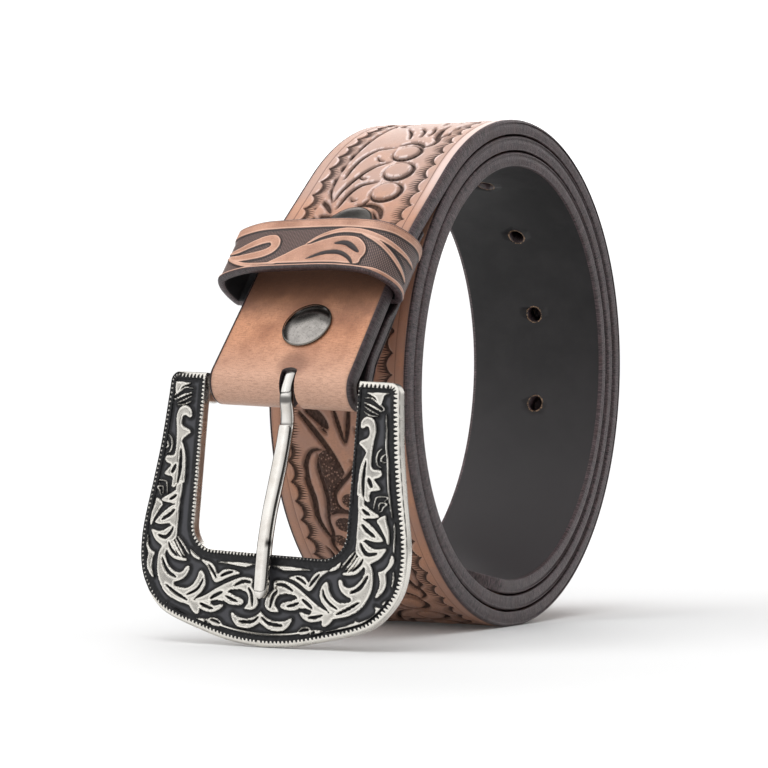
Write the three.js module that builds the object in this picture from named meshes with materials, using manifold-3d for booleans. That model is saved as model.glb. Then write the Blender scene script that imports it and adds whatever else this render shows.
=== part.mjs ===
// Western belt: a tooled leather strap coiled on itself and standing on the coil. Its outer end
// runs down through a leather keeper and folds round the bar of a cast buckle, held by two snaps.
// Millimetres, +Z up, from the middle of the flat that the coil rests on. The coil's axis runs
// along Y and the buckle faces -X.
import * as THREE from "three";
import { mergeVertices } from "three/addons/utils/BufferGeometryUtils.js";
import Module from "manifold-3d";

const wasm = await Module();
wasm.setup();

// Strap leather
const STRAP_WIDTH = 38;
const STRAP_THICKNESS = 3.65;
const EDGE_BEVEL = 0.5;

// Coil: angles run clockwise from the top, seen from the -Y side, and the turns close inward
const COIL_X = 1.5;
const COIL_RADIUS = 61.19;
const TURN_PITCH = 3.944;
const COIL_OVAL = 2.55;
const COIL_OVAL_ANGLE = 12.65;
const COIL_STEP = 6;
const LEAVE_ANGLE = -37.6;
const REST_ANGLE = LEAVE_ANGLE + 37 * COIL_STEP;
const SHOULDER_ANGLE = LEAVE_ANGLE + 158 * COIL_STEP;
const TIP_ANGLE = SHOULDER_ANGLE + 5 * COIL_STEP;
const TIP_HALF_WIDTH = 1.2;
const TIP_POWER = 1.3;
const HOLE_DIAMETER = 4;
const HOLE_ANGLES = [716.7, 740.5, 764.2, 790.4, 818.8];
const HOLE_REACH = 0.14;

// Folded end, measured up its front face from the fold round the bar: the thickness of the
// front ply, of the skived ply that returns behind it, and of the stack from face to face
const FOLD_ROWS = [
  { up: 0, front: 3.3, back: 3.3, stack: 10.4 },
  { up: 8.5, front: 3.4, back: 3.3, stack: 7.7 },
  { up: 20, front: 3.4, back: 3.0, stack: 7.7 },
  { up: 24.4, front: 3.4, back: 1.4, stack: 7.4 },
  { up: 39.4, front: 3.4, back: 1.0, stack: 7.0 },
  { up: 41.4, front: 3.4, back: 1.0, stack: 4.8 },
  { up: 50.6, front: 3.45, back: 1.0, stack: 4.75 },
];
const END_SLOPE = 50.5;
const BEND_RADIUS = 60;
const FOLD_STEPS = 12;
const RETURN_SHOULDER = 45.8;
const RETURN_LENGTH = 50.6;
const LEAN_ENDS = 24.4;
const SLOT_HALF_WIDTH = 2.2;
const SLOT_SIDES = 3.2;
const SLOT_CROWN = 0.8;

// Bar and buckle
const BAR_X = -75;
const BAR_Z = 59.3;
const BAR_DIAMETER = 3.2;
const BAR_LENGTH = 47;
const CLEARANCE = 0.3;
const BUCKLE_TILT = 4.49;
const BUCKLE_ROLL = 2.57;
const FACE_AHEAD = 4.9;
const PLATE_THICKNESS = 3.2;
const PLATE_BEVEL = 0.5;
const RIM_WIDTH = 1.4;
const RELIEF_HEIGHT = 0.7;
const PLATE_BOW = 1.6;
const BOW_AT = 33;
const ARM_TOP = 1.7;
const ARM_CORNER = 2.5;
const ARM_HALF_WIDTH = 30.8;
const WINDOW_HALF_WIDTH = 20.5;
const WINDOW_CORNER = 6;
const RAIL_TOP = -38.8;
const LUG_INNER = 20.9;
const LUG_OUTER = 25.5;
const LUG_HALF_HEIGHT = 3.4;
const LUG_BEHIND = 3.4;

// Outer edge of one half of the buckle below its arm's top: out from the middle, down from the bar
const FRAME_EDGE = [
  { side: 31.0, down: 3.5 },
  { side: 32.1, down: 14.3 },
  { side: 33.6, down: 23.7 },
  { side: 35.3, down: 33.1 },
  { side: 35.7, down: 38.4 },
  { side: 35.2, down: 43.4 },
  { side: 33.5, down: 47.6 },
  { side: 29.9, down: 52.0 },
  { side: 25.5, down: 54.6 },
  { side: 16.2, down: 57.3 },
  { side: 8.0, down: 59.1 },
  { side: 0, down: 59.7 },
];

// Scroll strokes of one half of the buckle: a curve from, over and to a place, each out from
// the middle and down from the bar, and the stroke's width at its fullest
const SCROLLS = [
  { from: [28.7, 0.8], over: [25.6, 1.4], to: [22.4, 0.6], width: 1.1 },
  { from: [28.6, 4.1], over: [26.7, 2.8], to: [24.1, 2.2], width: 1.0 },
  { from: [28.2, 5.6], over: [26.2, 4.6], to: [23.9, 3.8], width: 1.0 },
  { from: [24.1, 7.8], over: [26.6, 5.8], to: [27.7, 9.8], width: 1.6 },
  { from: [27.8, 9.2], over: [26.5, 11.8], to: [23.7, 11.9], width: 1.3 },
  { from: [23.7, 11.9], over: [25.9, 13.2], to: [26.9, 14.8], width: 1.0 },
  { from: [28.4, 11.0], over: [28.5, 16.4], to: [27.2, 23.4], width: 1.3 },
  { from: [26.4, 13.9], over: [24.9, 18.5], to: [23.9, 23.5], width: 1.3 },
  { from: [30.6, 21.6], over: [28.5, 19.4], to: [27.3, 21.6], width: 1.1 },
  { from: [31.3, 28.6], over: [28.0, 26.5], to: [25.1, 24.3], width: 1.2 },
  { from: [25.3, 24.3], over: [24.4, 32.3], to: [21.8, 41.3], width: 1.8 },
  { from: [32.3, 33.8], over: [29.0, 31.5], to: [25.4, 29.6], width: 1.3 },
  { from: [32.0, 36.6], over: [28.9, 37.2], to: [25.2, 34.0], width: 1.3 },
  { from: [33.4, 36.5], over: [31.2, 40.4], to: [31.0, 46.0], width: 1.0 },
  { from: [27.7, 37.4], over: [25.4, 40.0], to: [21.5, 41.3], width: 1.1 },
  { from: [29.3, 41.9], over: [25.9, 46.2], to: [20.7, 42.8], width: 1.5 },
  { from: [29.3, 42.4], over: [25.1, 48.0], to: [16.5, 53.2], width: 2.2 },
  { from: [19.9, 50.4], over: [17.4, 46.9], to: [17.0, 43.4], width: 1.5 },
  { from: [22.5, 36.8], over: [21.2, 38.5], to: [19.9, 41.8], width: 1.0 },
  { from: [16.0, 41.3], over: [14.7, 43.5], to: [12.8, 45.8], width: 1.1 },
  { from: [12.8, 45.8], over: [10.8, 43.4], to: [6.4, 42.6], width: 1.1 },
  { from: [13.6, 48.4], over: [8.4, 44.8], to: [1.8, 45.2], width: 1.5 },
  { from: [9.3, 47.2], over: [6.2, 47.4], to: [4.9, 50.0], width: 1.1 },
  { from: [4.4, 46.3], over: [1.5, 48.1], to: [4.3, 50.8], width: 1.2 },
  { from: [10.8, 48.4], over: [7.9, 50.2], to: [4.9, 49.3], width: 1.3 },
  { from: [17.2, 50.5], over: [13.2, 52.3], to: [10.1, 50.2], width: 1.5 },
  { from: [8.4, 52.2], over: [4.3, 55.2], to: [0.2, 52.0], width: 1.4 },
];
const SCROLL_STEPS = 5;
const SCROLL_TIP = 0.12;
const SCROLL_ROOT = 0.4;

// Prong, by its centre line: ahead of the bar and down from it
const PRONG_LINE = [
  { ahead: 0.4, down: 2.4 },
  { ahead: 0.2, down: 9.4 },
  { ahead: 1.7, down: 14.6 },
  { ahead: 5.9, down: 30.0 },
  { ahead: 6.5, down: 37.0 },
  { ahead: 6.4, down: 48.6 },
];
const PRONG_WIDTH = 3.2;
const PRONG_THICKNESS = 2;
const PRONG_BEVEL = 0.35;
const PRONG_SLEW = -1.4;
const EYE_WALL = 1.8;

// Keeper's outline round the strap: across the strap, and out from its front face
const KEEPER_EDGE = [
  { across: 25.6, out: 3.6 },
  { across: 23.2, out: 5.6 },
  { across: 17.2, out: 7.5 },
  { across: 11.3, out: 8.1 },
  { across: -5.2, out: 8.4 },
  { across: -10.4, out: 8.0 },
  { across: -15.3, out: 7.0 },
  { across: -18.6, out: 5.0 },
  { across: -21.2, out: 1.6 },
  { across: -21.9, out: -1.5 },
  { across: -21.0, out: -4.3 },
  { across: -19.4, out: -5.7 },
  { across: 23.0, out: -5.7 },
  { across: 25.2, out: -4.0 },
  { across: 26.3, out: 0.2 },
];
const KEEPER_THICKNESS = 2;
const KEEPER_UP = 24.4;
const KEEPER_WIDTH = 15;
const KEEPER_BEVEL = 0.4;

// Snaps: domed cap with its post, and the flat stud behind
const CAP_DIAMETER = 12.5;
const CAP_HEIGHT = 1.6;
const CAP_EDGE = 0.5;
const POST_DIAMETER = 3.4;
const SNAP_HOLE_DIAMETER = 4;
const SNAPS = [
  { name: "lower", up: 13.4, across: -1.9, stack: 7.7, studDiameter: 9, studThickness: 0.9 },
  { name: "upper", up: 44.6, across: -0.7, stack: 4.8, studDiameter: 6, studThickness: 0.5 },
];

const TOOLED_LEATHER = leather(0x9a6a48);
const KEEPER_LEATHER = leather(0x8f6242);
const BRIGHT_SILVER = metal(0xd9d6cf, 0.25);
const ANTIQUE_SILVER = metal(0xb9b5ae, 0.35);

function leather(color) {
  return new THREE.MeshStandardMaterial({ color, roughness: 0.62, metalness: 0 });
}

function metal(color, roughness) {
  return new THREE.MeshStandardMaterial({ color, roughness, metalness: 1 });
}

const radians = THREE.MathUtils.degToRad;

// Solids and meshes

function solidOf(geometry) {
  const bare = geometry.clone();
  bare.deleteAttribute("normal");
  bare.deleteAttribute("uv");
  const merged = mergeVertices(bare, 1e-4);
  return new wasm.Manifold(
    new wasm.Mesh({
      numProp: 3,
      vertProperties: new Float32Array(merged.attributes.position.array),
      triVerts: new Uint32Array(merged.index.array),
    }),
  );
}

function geometryOf(solid) {
  const mesh = solid.getMesh();
  const geometry = new THREE.BufferGeometry();
  geometry.setAttribute("position", new THREE.BufferAttribute(mesh.vertProperties, 3));
  geometry.setIndex(new THREE.BufferAttribute(mesh.triVerts, 1));
  geometry.computeVertexNormals();
  return geometry;
}

function without(solid, cutters) {
  return cutters.reduce((rest, cutter) => rest.subtract(solidOf(cutter)), solid);
}

function namedMesh(name, geometry, material) {
  const mesh = new THREE.Mesh(geometry, material);
  mesh.name = name;
  return mesh;
}

// Skins a row of outlines that have the same number of points, and closes both ends
function loft(outlines) {
  const count = outlines[0].length;
  const positions = outlines.flat().flatMap((point) => point.toArray());
  const faces = [];
  for (let row = 0; row + 1 < outlines.length; row += 1) {
    for (let k = 0; k < count; k += 1) {
      const a = row * count + k;
      const b = row * count + ((k + 1) % count);
      faces.push(a, b, b + count, a, b + count, a + count);
    }
  }
  const last = (outlines.length - 1) * count;
  for (let k = 1; k + 1 < count; k += 1) {
    faces.push(0, k + 1, k, last, last + k, last + k + 1);
  }
  const geometry = new THREE.BufferGeometry();
  geometry.setAttribute("position", new THREE.Float32BufferAttribute(positions, 3));
  geometry.setIndex(faces);
  return geometry;
}

// Moves each corner of a closed outline inward by the same distance from both its sides
function insetOutline(points, distance) {
  const inward = THREE.ShapeUtils.isClockWise(points) ? -1 : 1;
  return points.map((point, k) => {
    const before = points[(k + points.length - 1) % points.length];
    const after = points[(k + 1) % points.length];
    const arriving = point.clone().sub(before).normalize();
    const leaving = after.clone().sub(point).normalize();
    const across = arriving.clone().add(leaving).normalize();
    const reach = (distance * inward) / across.dot(leaving);
    return new THREE.Vector2(point.x - across.y * reach, point.y + across.x * reach);
  });
}

// An extruded outline whose edges are bevelled and whose whole depth is as given
function bevelledSlab(shape, depth, bevel) {
  const geometry = new THREE.ExtrudeGeometry(shape, {
    depth: depth - 2 * bevel,
    bevelEnabled: true,
    bevelThickness: bevel,
    bevelSize: bevel,
    bevelOffset: -bevel,
    bevelSegments: 1,
    steps: 1,
  });
  return geometry.translate(0, 0, bevel);
}

// Coil

function coilRadius(angle) {
  const oval = COIL_OVAL * Math.cos(2 * radians(angle - COIL_OVAL_ANGLE));
  return COIL_RADIUS - (TURN_PITCH * angle) / 360 + oval;
}

const COIL_Z = -coilRadius(REST_ANGLE) * Math.cos(radians(REST_ANGLE));

// A place on the strap's outer face: the point in the XZ plane and the way out from the leather
function coilFace(angle) {
  const turn = radians(angle);
  const radius = coilRadius(angle);
  const ovalGrowth = -2 * COIL_OVAL * Math.sin(2 * radians(angle - COIL_OVAL_ANGLE));
  const growth = ovalGrowth - TURN_PITCH / (2 * Math.PI);
  const tangent = new THREE.Vector2(
    growth * Math.sin(turn) + radius * Math.cos(turn),
    growth * Math.cos(turn) - radius * Math.sin(turn),
  ).normalize();
  const height = Math.max(COIL_Z + radius * Math.cos(turn), 0);
  return {
    point: new THREE.Vector2(COIL_X + radius * Math.sin(turn), height),
    out: new THREE.Vector2(-tangent.y, tangent.x),
  };
}

function coilHalfWidth(angle) {
  if (angle <= SHOULDER_ANGLE + COIL_STEP / 2) return STRAP_WIDTH / 2;
  const along = (angle - SHOULDER_ANGLE) / (TIP_ANGLE - SHOULDER_ANGLE);
  return Math.max((STRAP_WIDTH / 2) * (1 - along ** TIP_POWER), TIP_HALF_WIDTH);
}

// Folded end: a straight run up from the bar, a wide bend, then the line that meets the coil

const FOLD_RADIUS = FOLD_ROWS[0].stack / 2;
const BAR_CENTRE = new THREE.Vector2(BAR_X, BAR_Z);

const upAlong = (slope) => new THREE.Vector2(Math.cos(radians(slope)), Math.sin(radians(slope)));
const outFrom = (slope) => new THREE.Vector2(-Math.sin(radians(slope)), Math.cos(radians(slope)));

function planEnd() {
  const leave = coilFace(LEAVE_ANGLE);
  const coilSlope = THREE.MathUtils.radToDeg(Math.atan2(-leave.out.x, leave.out.y));
  const start = BAR_CENTRE.clone().addScaledVector(outFrom(END_SLOPE), FOLD_RADIUS);
  const toLeave = leave.point.clone().sub(start);
  const turn = radians(END_SLOPE - coilSlope);
  const toCorner = toLeave.cross(upAlong(coilSlope)) / upAlong(END_SLOPE).cross(upAlong(coilSlope));
  const bendStart = toCorner - BEND_RADIUS * Math.tan(turn / 2);
  return { start, coilSlope, bendStart, bendEnd: bendStart + BEND_RADIUS * turn };
}

const END = planEnd();

function endFace(up) {
  const slope = Math.max(
    END_SLOPE - THREE.MathUtils.radToDeg(Math.max(up - END.bendStart, 0) / BEND_RADIUS),
    END.coilSlope,
  );
  const straight = Math.min(up, END.bendStart);
  const point = END.start.clone().addScaledVector(upAlong(END_SLOPE), straight);
  point.addScaledVector(outFrom(END_SLOPE), -BEND_RADIUS);
  point.addScaledVector(outFrom(slope), BEND_RADIUS);
  point.addScaledVector(upAlong(END.coilSlope), Math.max(up - END.bendEnd, 0));
  return { point, out: outFrom(slope), slope };
}

// Reads one column of the folded end's rows, in proportion between two of them
function foldValue(up, column) {
  const last = FOLD_ROWS.length - 1;
  if (up >= FOLD_ROWS[last].up) return FOLD_ROWS[last][column];
  const above = FOLD_ROWS.findIndex((row) => row.up > up);
  const [low, high] = [FOLD_ROWS[above - 1], FOLD_ROWS[above]];
  const share = (up - low.up) / (high.up - low.up);
  return THREE.MathUtils.lerp(low[column], high[column], share);
}

// The strap's edges lean with the buckle below the keeper
function leanAt(up) {
  return Math.tan(radians(BUCKLE_ROLL)) * Math.max(1 - up / LEAN_ENDS, 0);
}

// Strap

// One cross-section of the strap, from its face: eight corners with burnished edges
function strapSection({ point, out }, thickness, halfWidth, lean) {
  const inner = halfWidth - EDGE_BEVEL;
  const deep = Math.min(EDGE_BEVEL, thickness / 3);
  const corners = [
    [-inner, 0],
    [inner, 0],
    [halfWidth, deep],
    [halfWidth, thickness - deep],
    [inner, thickness],
    [-inner, thickness],
    [-halfWidth, thickness - deep],
    [-halfWidth, deep],
  ];
  return corners.map(([across, depth]) => {
    const x = point.x - out.x * depth;
    const z = point.y - out.y * depth + across * lean;
    return new THREE.Vector3(x, across, z);
  });
}

function coilSections() {
  const sections = [];
  const steps = Math.round((TIP_ANGLE - LEAVE_ANGLE) / COIL_STEP);
  for (let k = steps; k >= 0; k -= 1) {
    const angle = LEAVE_ANGLE + k * COIL_STEP;
    sections.push(strapSection(coilFace(angle), STRAP_THICKNESS, coilHalfWidth(angle), 0));
  }
  return sections;
}

function frontPlySections() {
  const middle = (END.bendStart + END.bendEnd) / 2;
  const rows = FOLD_ROWS.map((row) => row.up).filter((up) => up < END.bendStart);
  const places = [END.bendEnd, middle, END.bendStart, ...rows.reverse()];
  return places.map((up) =>
    strapSection(endFace(up), foldValue(up, "front"), STRAP_WIDTH / 2, leanAt(up)),
  );
}

function foldSections() {
  const sections = [];
  for (let k = 1; k < FOLD_STEPS; k += 1) {
    const out = outFrom(END_SLOPE + (180 * k) / FOLD_STEPS);
    const point = BAR_CENTRE.clone().addScaledVector(out, FOLD_RADIUS);
    const thickness = foldValue(0, "front");
    sections.push(strapSection({ point, out }, thickness, STRAP_WIDTH / 2, leanAt(0)));
  }
  return sections;
}

function returnHalfWidth(up) {
  if (up <= RETURN_SHOULDER) return STRAP_WIDTH / 2;
  const along = (up - RETURN_SHOULDER) / (RETURN_LENGTH - RETURN_SHOULDER);
  return Math.max((STRAP_WIDTH / 2) * Math.sqrt(1 - along ** 2), TIP_HALF_WIDTH);
}

function returnPlySections() {
  const roundEnd = [0, 0.4, 0.7, 0.9, 1].map((share) =>
    THREE.MathUtils.lerp(RETURN_SHOULDER, RETURN_LENGTH, share),
  );
  const rows = FOLD_ROWS.map((row) => row.up).filter((up) => up < RETURN_SHOULDER);
  return [...rows, ...roundEnd].map((up) => {
    const face = endFace(up);
    const point = face.point.addScaledVector(face.out, -foldValue(up, "stack"));
    const rear = { point, out: face.out.negate() };
    return strapSection(rear, foldValue(up, "back"), returnHalfWidth(up), leanAt(up));
  });
}

// A round cutter square to the leather, from `above` the face to `below` it
function punch({ point, out }, across, diameter, above, below) {
  const cutter = new THREE.CylinderGeometry(diameter / 2, diameter / 2, above + below, 16);
  const outward = new THREE.Vector3(out.x, 0, out.y);
  cutter.applyQuaternion(new THREE.Quaternion().setFromUnitVectors(THREE.Object3D.DEFAULT_UP, outward));
  const middle = (above - below) / 2;
  return cutter.translate(point.x + out.x * middle, across, point.y + out.y * middle);
}

// Turns a flat outline so that it lies on the folded end: across the strap and up it, with its
// depth running out from the leather
function layOnEnd(object, up, out) {
  const face = endFace(up);
  const along = upAlong(face.slope);
  object.matrix.makeBasis(
    new THREE.Vector3(0, -1, 0),
    new THREE.Vector3(along.x, 0, along.y),
    new THREE.Vector3(face.out.x, 0, face.out.y),
  );
  const place = face.point.addScaledVector(face.out, out);
  object.matrix.setPosition(place.x, 0, place.y);
  object.matrix.decompose(object.position, object.quaternion, object.scale);
  return object;
}

function prongSlotCutter() {
  const shape = new THREE.Shape();
  const reach = 3 * FOLD_RADIUS;
  shape.moveTo(-SLOT_HALF_WIDTH, -reach);
  shape.lineTo(SLOT_HALF_WIDTH, -reach);
  shape.lineTo(SLOT_HALF_WIDTH, SLOT_SIDES);
  shape.absellipse(0, SLOT_SIDES, SLOT_HALF_WIDTH, SLOT_CROWN, 0, Math.PI);
  const geometry = new THREE.ExtrudeGeometry(shape, {
    depth: 2 * reach,
    bevelEnabled: false,
    curveSegments: 8,
  });
  const placed = layOnEnd(new THREE.Object3D(), 0, -FOLD_RADIUS - reach);
  return geometry.applyMatrix4(placed.matrix);
}

function strap() {
  const outlines = [
    ...coilSections(),
    ...frontPlySections(),
    ...foldSections(),
    ...returnPlySections(),
  ];
  const leatherBand = solidOf(loft(outlines));
  const holes = HOLE_ANGLES.map((angle) =>
    punch(coilFace(angle), 0, HOLE_DIAMETER, HOLE_REACH, 2 * STRAP_THICKNESS),
  );
  const snapHoles = SNAPS.map(({ up, across, stack }) =>
    punch(endFace(up), across, SNAP_HOLE_DIAMETER, 1, stack + CLEARANCE),
  );
  const cut = without(leatherBand, [...holes, ...snapHoles, prongSlotCutter()]);
  return namedMesh("strap", geometryOf(cut), TOOLED_LEATHER);
}

// Keeper

function keeper() {
  const edge = KEEPER_EDGE.map(({ across, out }) => new THREE.Vector2(across, out));
  const shape = new THREE.Shape(edge);
  shape.holes.push(new THREE.Path(insetOutline(edge, KEEPER_THICKNESS)));
  const mesh = namedMesh("keeper", bevelledSlab(shape, KEEPER_WIDTH, KEEPER_BEVEL), KEEPER_LEATHER);
  const { point, out, slope } = endFace(KEEPER_UP);
  const along = upAlong(slope);
  mesh.matrix.makeBasis(
    new THREE.Vector3(0, 1, 0),
    new THREE.Vector3(out.x, 0, out.y),
    new THREE.Vector3(along.x, 0, along.y),
  );
  mesh.quaternion.setFromRotationMatrix(mesh.matrix);
  mesh.position.set(point.x, 0, point.y);
  return mesh;
}

// Snaps

// Turned about Y in its own frame, with the leather's face at height 0
function snapCapGeometry(stack) {
  const radius = CAP_DIAMETER / 2;
  const seat = CLEARANCE;
  const dome = [1, 0.94, 0.8, 0.6, 0.3].map((share) => {
    const height = CAP_HEIGHT - CAP_EDGE;
    return new THREE.Vector2(radius * share, seat + CAP_EDGE + height * (1 - share ** 2) ** 0.75);
  });
  return new THREE.LatheGeometry(
    [
      new THREE.Vector2(0, -stack),
      new THREE.Vector2(POST_DIAMETER / 2, -stack),
      new THREE.Vector2(POST_DIAMETER / 2, seat),
      new THREE.Vector2(radius - CAP_EDGE / 2, seat),
      ...dome,
      new THREE.Vector2(0, seat + CAP_HEIGHT),
    ],
    20,
  );
}

function snapStudGeometry({ stack, studDiameter, studThickness }) {
  const front = -stack - CLEARANCE;
  return new THREE.LatheGeometry(
    [
      new THREE.Vector2(0, front - studThickness),
      new THREE.Vector2(studDiameter / 2 - CLEARANCE, front - studThickness),
      new THREE.Vector2(studDiameter / 2, front - studThickness / 2),
      new THREE.Vector2(studDiameter / 2, front),
      new THREE.Vector2(0, front),
    ],
    20,
  );
}

function snap(spec) {
  const pieces = new THREE.Group();
  const { point, out } = endFace(spec.up);
  pieces.position.set(point.x, spec.across, point.y);
  pieces.quaternion.setFromUnitVectors(THREE.Object3D.DEFAULT_UP, new THREE.Vector3(out.x, 0, out.y));
  const cap = namedMesh(`snap_cap_${spec.name}`, snapCapGeometry(spec.stack), ANTIQUE_SILVER);
  const stud = namedMesh(`snap_stud_${spec.name}`, snapStudGeometry(spec), ANTIQUE_SILVER);
  return pieces.add(cap, stud);
}

// Buckle, in its own frame: the bar's axis along Y through the origin, the face toward -X

// The plate's outline, drawn in by `inset` all round
function plateShape(inset) {
  const armTop = ARM_TOP - inset;
  const corner = Math.max(ARM_CORNER - inset, CLEARANCE);
  const armSide = ARM_HALF_WIDTH - inset;
  const window = WINDOW_HALF_WIDTH + inset;
  const rail = RAIL_TOP - inset;
  const edge = FRAME_EDGE.map(({ side, down }) => new THREE.Vector2(side, -down));
  const half = new THREE.SplineCurve(edge).getPoints(2 * edge.length);
  const whole = [...half, ...half.slice(0, -1).reverse().map(({ x, y }) => new THREE.Vector2(-x, y))];
  const lower = insetOutline(whole, inset).slice(1, -1);
  const shape = new THREE.Shape();
  shape.moveTo(-armSide + corner, armTop);
  shape.absarc(-armSide + corner, armTop - corner, corner, Math.PI / 2, Math.PI, false);
  lower.reverse().forEach(({ x, y }) => shape.lineTo(x, y));
  shape.absarc(armSide - corner, armTop - corner, corner, 0, Math.PI / 2, false);
  shape.lineTo(window, armTop);
  shape.absarc(window - WINDOW_CORNER, rail + WINDOW_CORNER, WINDOW_CORNER, 0, -Math.PI / 2, true);
  shape.absarc(WINDOW_CORNER - window, rail + WINDOW_CORNER, WINDOW_CORNER, -Math.PI / 2, -Math.PI, true);
  shape.lineTo(-window, armTop);
  return new THREE.Shape(shape.extractPoints(5).shape);
}

// Stands a flat outline up: its x runs along Y, its y up, and its depth back from the face
function standOnFace(geometry, ahead) {
  const upright = new THREE.Matrix4().makeBasis(
    new THREE.Vector3(0, 1, 0),
    new THREE.Vector3(0, 0, 1),
    new THREE.Vector3(1, 0, 0),
  );
  return geometry.applyMatrix4(upright).translate(-ahead, 0, 0);
}

// A stroke that swells from a point and tapers to a point along its curve
function strokeShape({ from, over, to, width }, mirror) {
  const [start, middle, end] = [from, over, to].map(([side, down]) => {
    return new THREE.Vector2(side * mirror, -down);
  });
  const control = middle.clone().multiplyScalar(2).addScaledVector(start, -0.5).addScaledVector(end, -0.5);
  const curve = new THREE.QuadraticBezierCurve(start, control, end);
  const left = [];
  const right = [];
  for (let k = 0; k <= SCROLL_STEPS; k += 1) {
    const share = k / SCROLL_STEPS;
    const half = Math.max((width / 2) * Math.sin(Math.PI * share) ** 0.6, SCROLL_TIP);
    const tangent = curve.getTangent(share);
    const point = curve.getPoint(share);
    left.push(new THREE.Vector2(point.x - tangent.y * half, point.y + tangent.x * half));
    right.unshift(new THREE.Vector2(point.x + tangent.y * half, point.y - tangent.x * half));
  }
  return new THREE.Shape([...left, ...right]);
}

function strokeSolid(scroll, mirror) {
  const geometry = new THREE.ExtrudeGeometry(strokeShape(scroll, mirror), {
    depth: RELIEF_HEIGHT + SCROLL_ROOT,
    bevelEnabled: false,
  });
  return solidOf(standOnFace(geometry, FACE_AHEAD));
}

// The plate with its sunk ground between raised rims, and the scrolls left standing on it
function scrolledPlate() {
  const blank = bevelledSlab(plateShape(0), PLATE_THICKNESS, PLATE_BEVEL);
  const ground = new THREE.ExtrudeGeometry(plateShape(RIM_WIDTH), {
    depth: 2 * RELIEF_HEIGHT,
    bevelEnabled: false,
  });
  let plate = solidOf(standOnFace(blank, FACE_AHEAD));
  plate = without(plate, [standOnFace(ground, FACE_AHEAD + RELIEF_HEIGHT)]);
  for (const scroll of SCROLLS) {
    plate = plate.add(strokeSolid(scroll, 1)).add(strokeSolid(scroll, -1));
  }
  return plate;
}

// Bends the flat casting so that its sides lie further back than its middle
function bowed(geometry) {
  const { position } = geometry.attributes;
  for (let k = 0; k < position.count; k += 1) {
    const back = PLATE_BOW * (position.getY(k) / BOW_AT) ** 2;
    position.setX(k, position.getX(k) + back);
  }
  return geometry;
}

// The lug behind an arm's top that takes the bar's end in a blind hole
function lug(side) {
  const front = FACE_AHEAD - PLATE_THICKNESS + PLATE_BEVEL;
  const block = new THREE.BoxGeometry(front + LUG_BEHIND, LUG_OUTER - LUG_INNER, 2 * LUG_HALF_HEIGHT);
  const middle = (LUG_OUTER + LUG_INNER) / 2;
  return solidOf(block.translate((LUG_BEHIND - front) / 2, side * middle, ARM_TOP - LUG_HALF_HEIGHT));
}

function barCutter() {
  const radius = BAR_DIAMETER / 2 + CLEARANCE;
  return new THREE.CylinderGeometry(radius, radius, BAR_LENGTH + 2 * CLEARANCE, 16);
}

function buckleFrame() {
  const plate = solidOf(bowed(geometryOf(scrolledPlate())));
  const withLugs = plate.add(lug(1)).add(lug(-1));
  return namedMesh("buckle_frame", geometryOf(without(withLugs, [barCutter()])), ANTIQUE_SILVER);
}

function buckleBar() {
  const bar = new THREE.CylinderGeometry(BAR_DIAMETER / 2, BAR_DIAMETER / 2, BAR_LENGTH, 16);
  return namedMesh("buckle_bar", bar, ANTIQUE_SILVER);
}

// The prong's side outline: its eye round the bar and its bent shank, closed at a blunt tip
function prongSideShape() {
  const line = new THREE.SplineCurve(
    PRONG_LINE.map(({ ahead, down }) => new THREE.Vector2(ahead, -down)),
  );
  const half = PRONG_THICKNESS / 2;
  const front = [];
  const rear = [];
  const steps = 2 * PRONG_LINE.length;
  for (let k = 0; k <= steps; k += 1) {
    const point = line.getPoint(k / steps);
    const tangent = line.getTangent(k / steps);
    front.push(new THREE.Vector2(point.x - tangent.y * half, point.y + tangent.x * half));
    rear.unshift(new THREE.Vector2(point.x + tangent.y * half, point.y - tangent.x * half));
  }
  return new THREE.Shape([...front, ...rear]);
}

// Lays a side outline in the XZ plane, ahead of the bar toward -X, centred on the prong's width
function sideways(geometry) {
  const turned = new THREE.Matrix4().makeBasis(
    new THREE.Vector3(-1, 0, 0),
    new THREE.Vector3(0, 0, 1),
    new THREE.Vector3(0, 1, 0),
  );
  return geometry.applyMatrix4(turned).translate(0, -PRONG_WIDTH / 2, 0);
}

// The prong seen from the front: straight sides and a round tip
function prongFrontCutter() {
  const half = PRONG_WIDTH / 2;
  const tip = PRONG_LINE.at(-1).down;
  const shape = new THREE.Shape();
  shape.moveTo(-half, 3 * half);
  shape.lineTo(-half, half - tip);
  shape.absarc(0, half - tip, half, Math.PI, 2 * Math.PI, false);
  shape.lineTo(half, 3 * half);
  const geometry = new THREE.ExtrudeGeometry(shape, {
    depth: 4 * FACE_AHEAD,
    bevelEnabled: false,
    curveSegments: 8,
  });
  return standOnFace(geometry, 2 * FACE_AHEAD);
}

function prong() {
  const eyeInner = BAR_DIAMETER / 2 + CLEARANCE;
  const eye = new THREE.Shape();
  eye.absarc(0, 0, eyeInner + EYE_WALL, 0, 2 * Math.PI, false);
  const rod = new THREE.CylinderGeometry(eyeInner, eyeInner, 2 * PRONG_WIDTH, 16);
  const eyeSolid = solidOf(sideways(bevelledSlab(eye, PRONG_WIDTH, PRONG_BEVEL)));
  const shank = solidOf(sideways(bevelledSlab(prongSideShape(), PRONG_WIDTH, PRONG_BEVEL)));
  const whole = without(eyeSolid.add(shank.intersect(solidOf(prongFrontCutter()))), [rod]);
  const mesh = namedMesh("buckle_prong", geometryOf(whole), BRIGHT_SILVER);
  mesh.rotation.x = radians(PRONG_SLEW);
  return mesh;
}

function buckle() {
  const pieces = new THREE.Group();
  pieces.position.set(BAR_X, 0, BAR_Z);
  pieces.rotation.set(radians(BUCKLE_ROLL), radians(BUCKLE_TILT), 0);
  return pieces.add(buckleFrame(), buckleBar(), prong());
}

const group = new THREE.Group();
group.add(strap(), keeper(), ...SNAPS.map(snap), buckle());

export default group;
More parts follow.
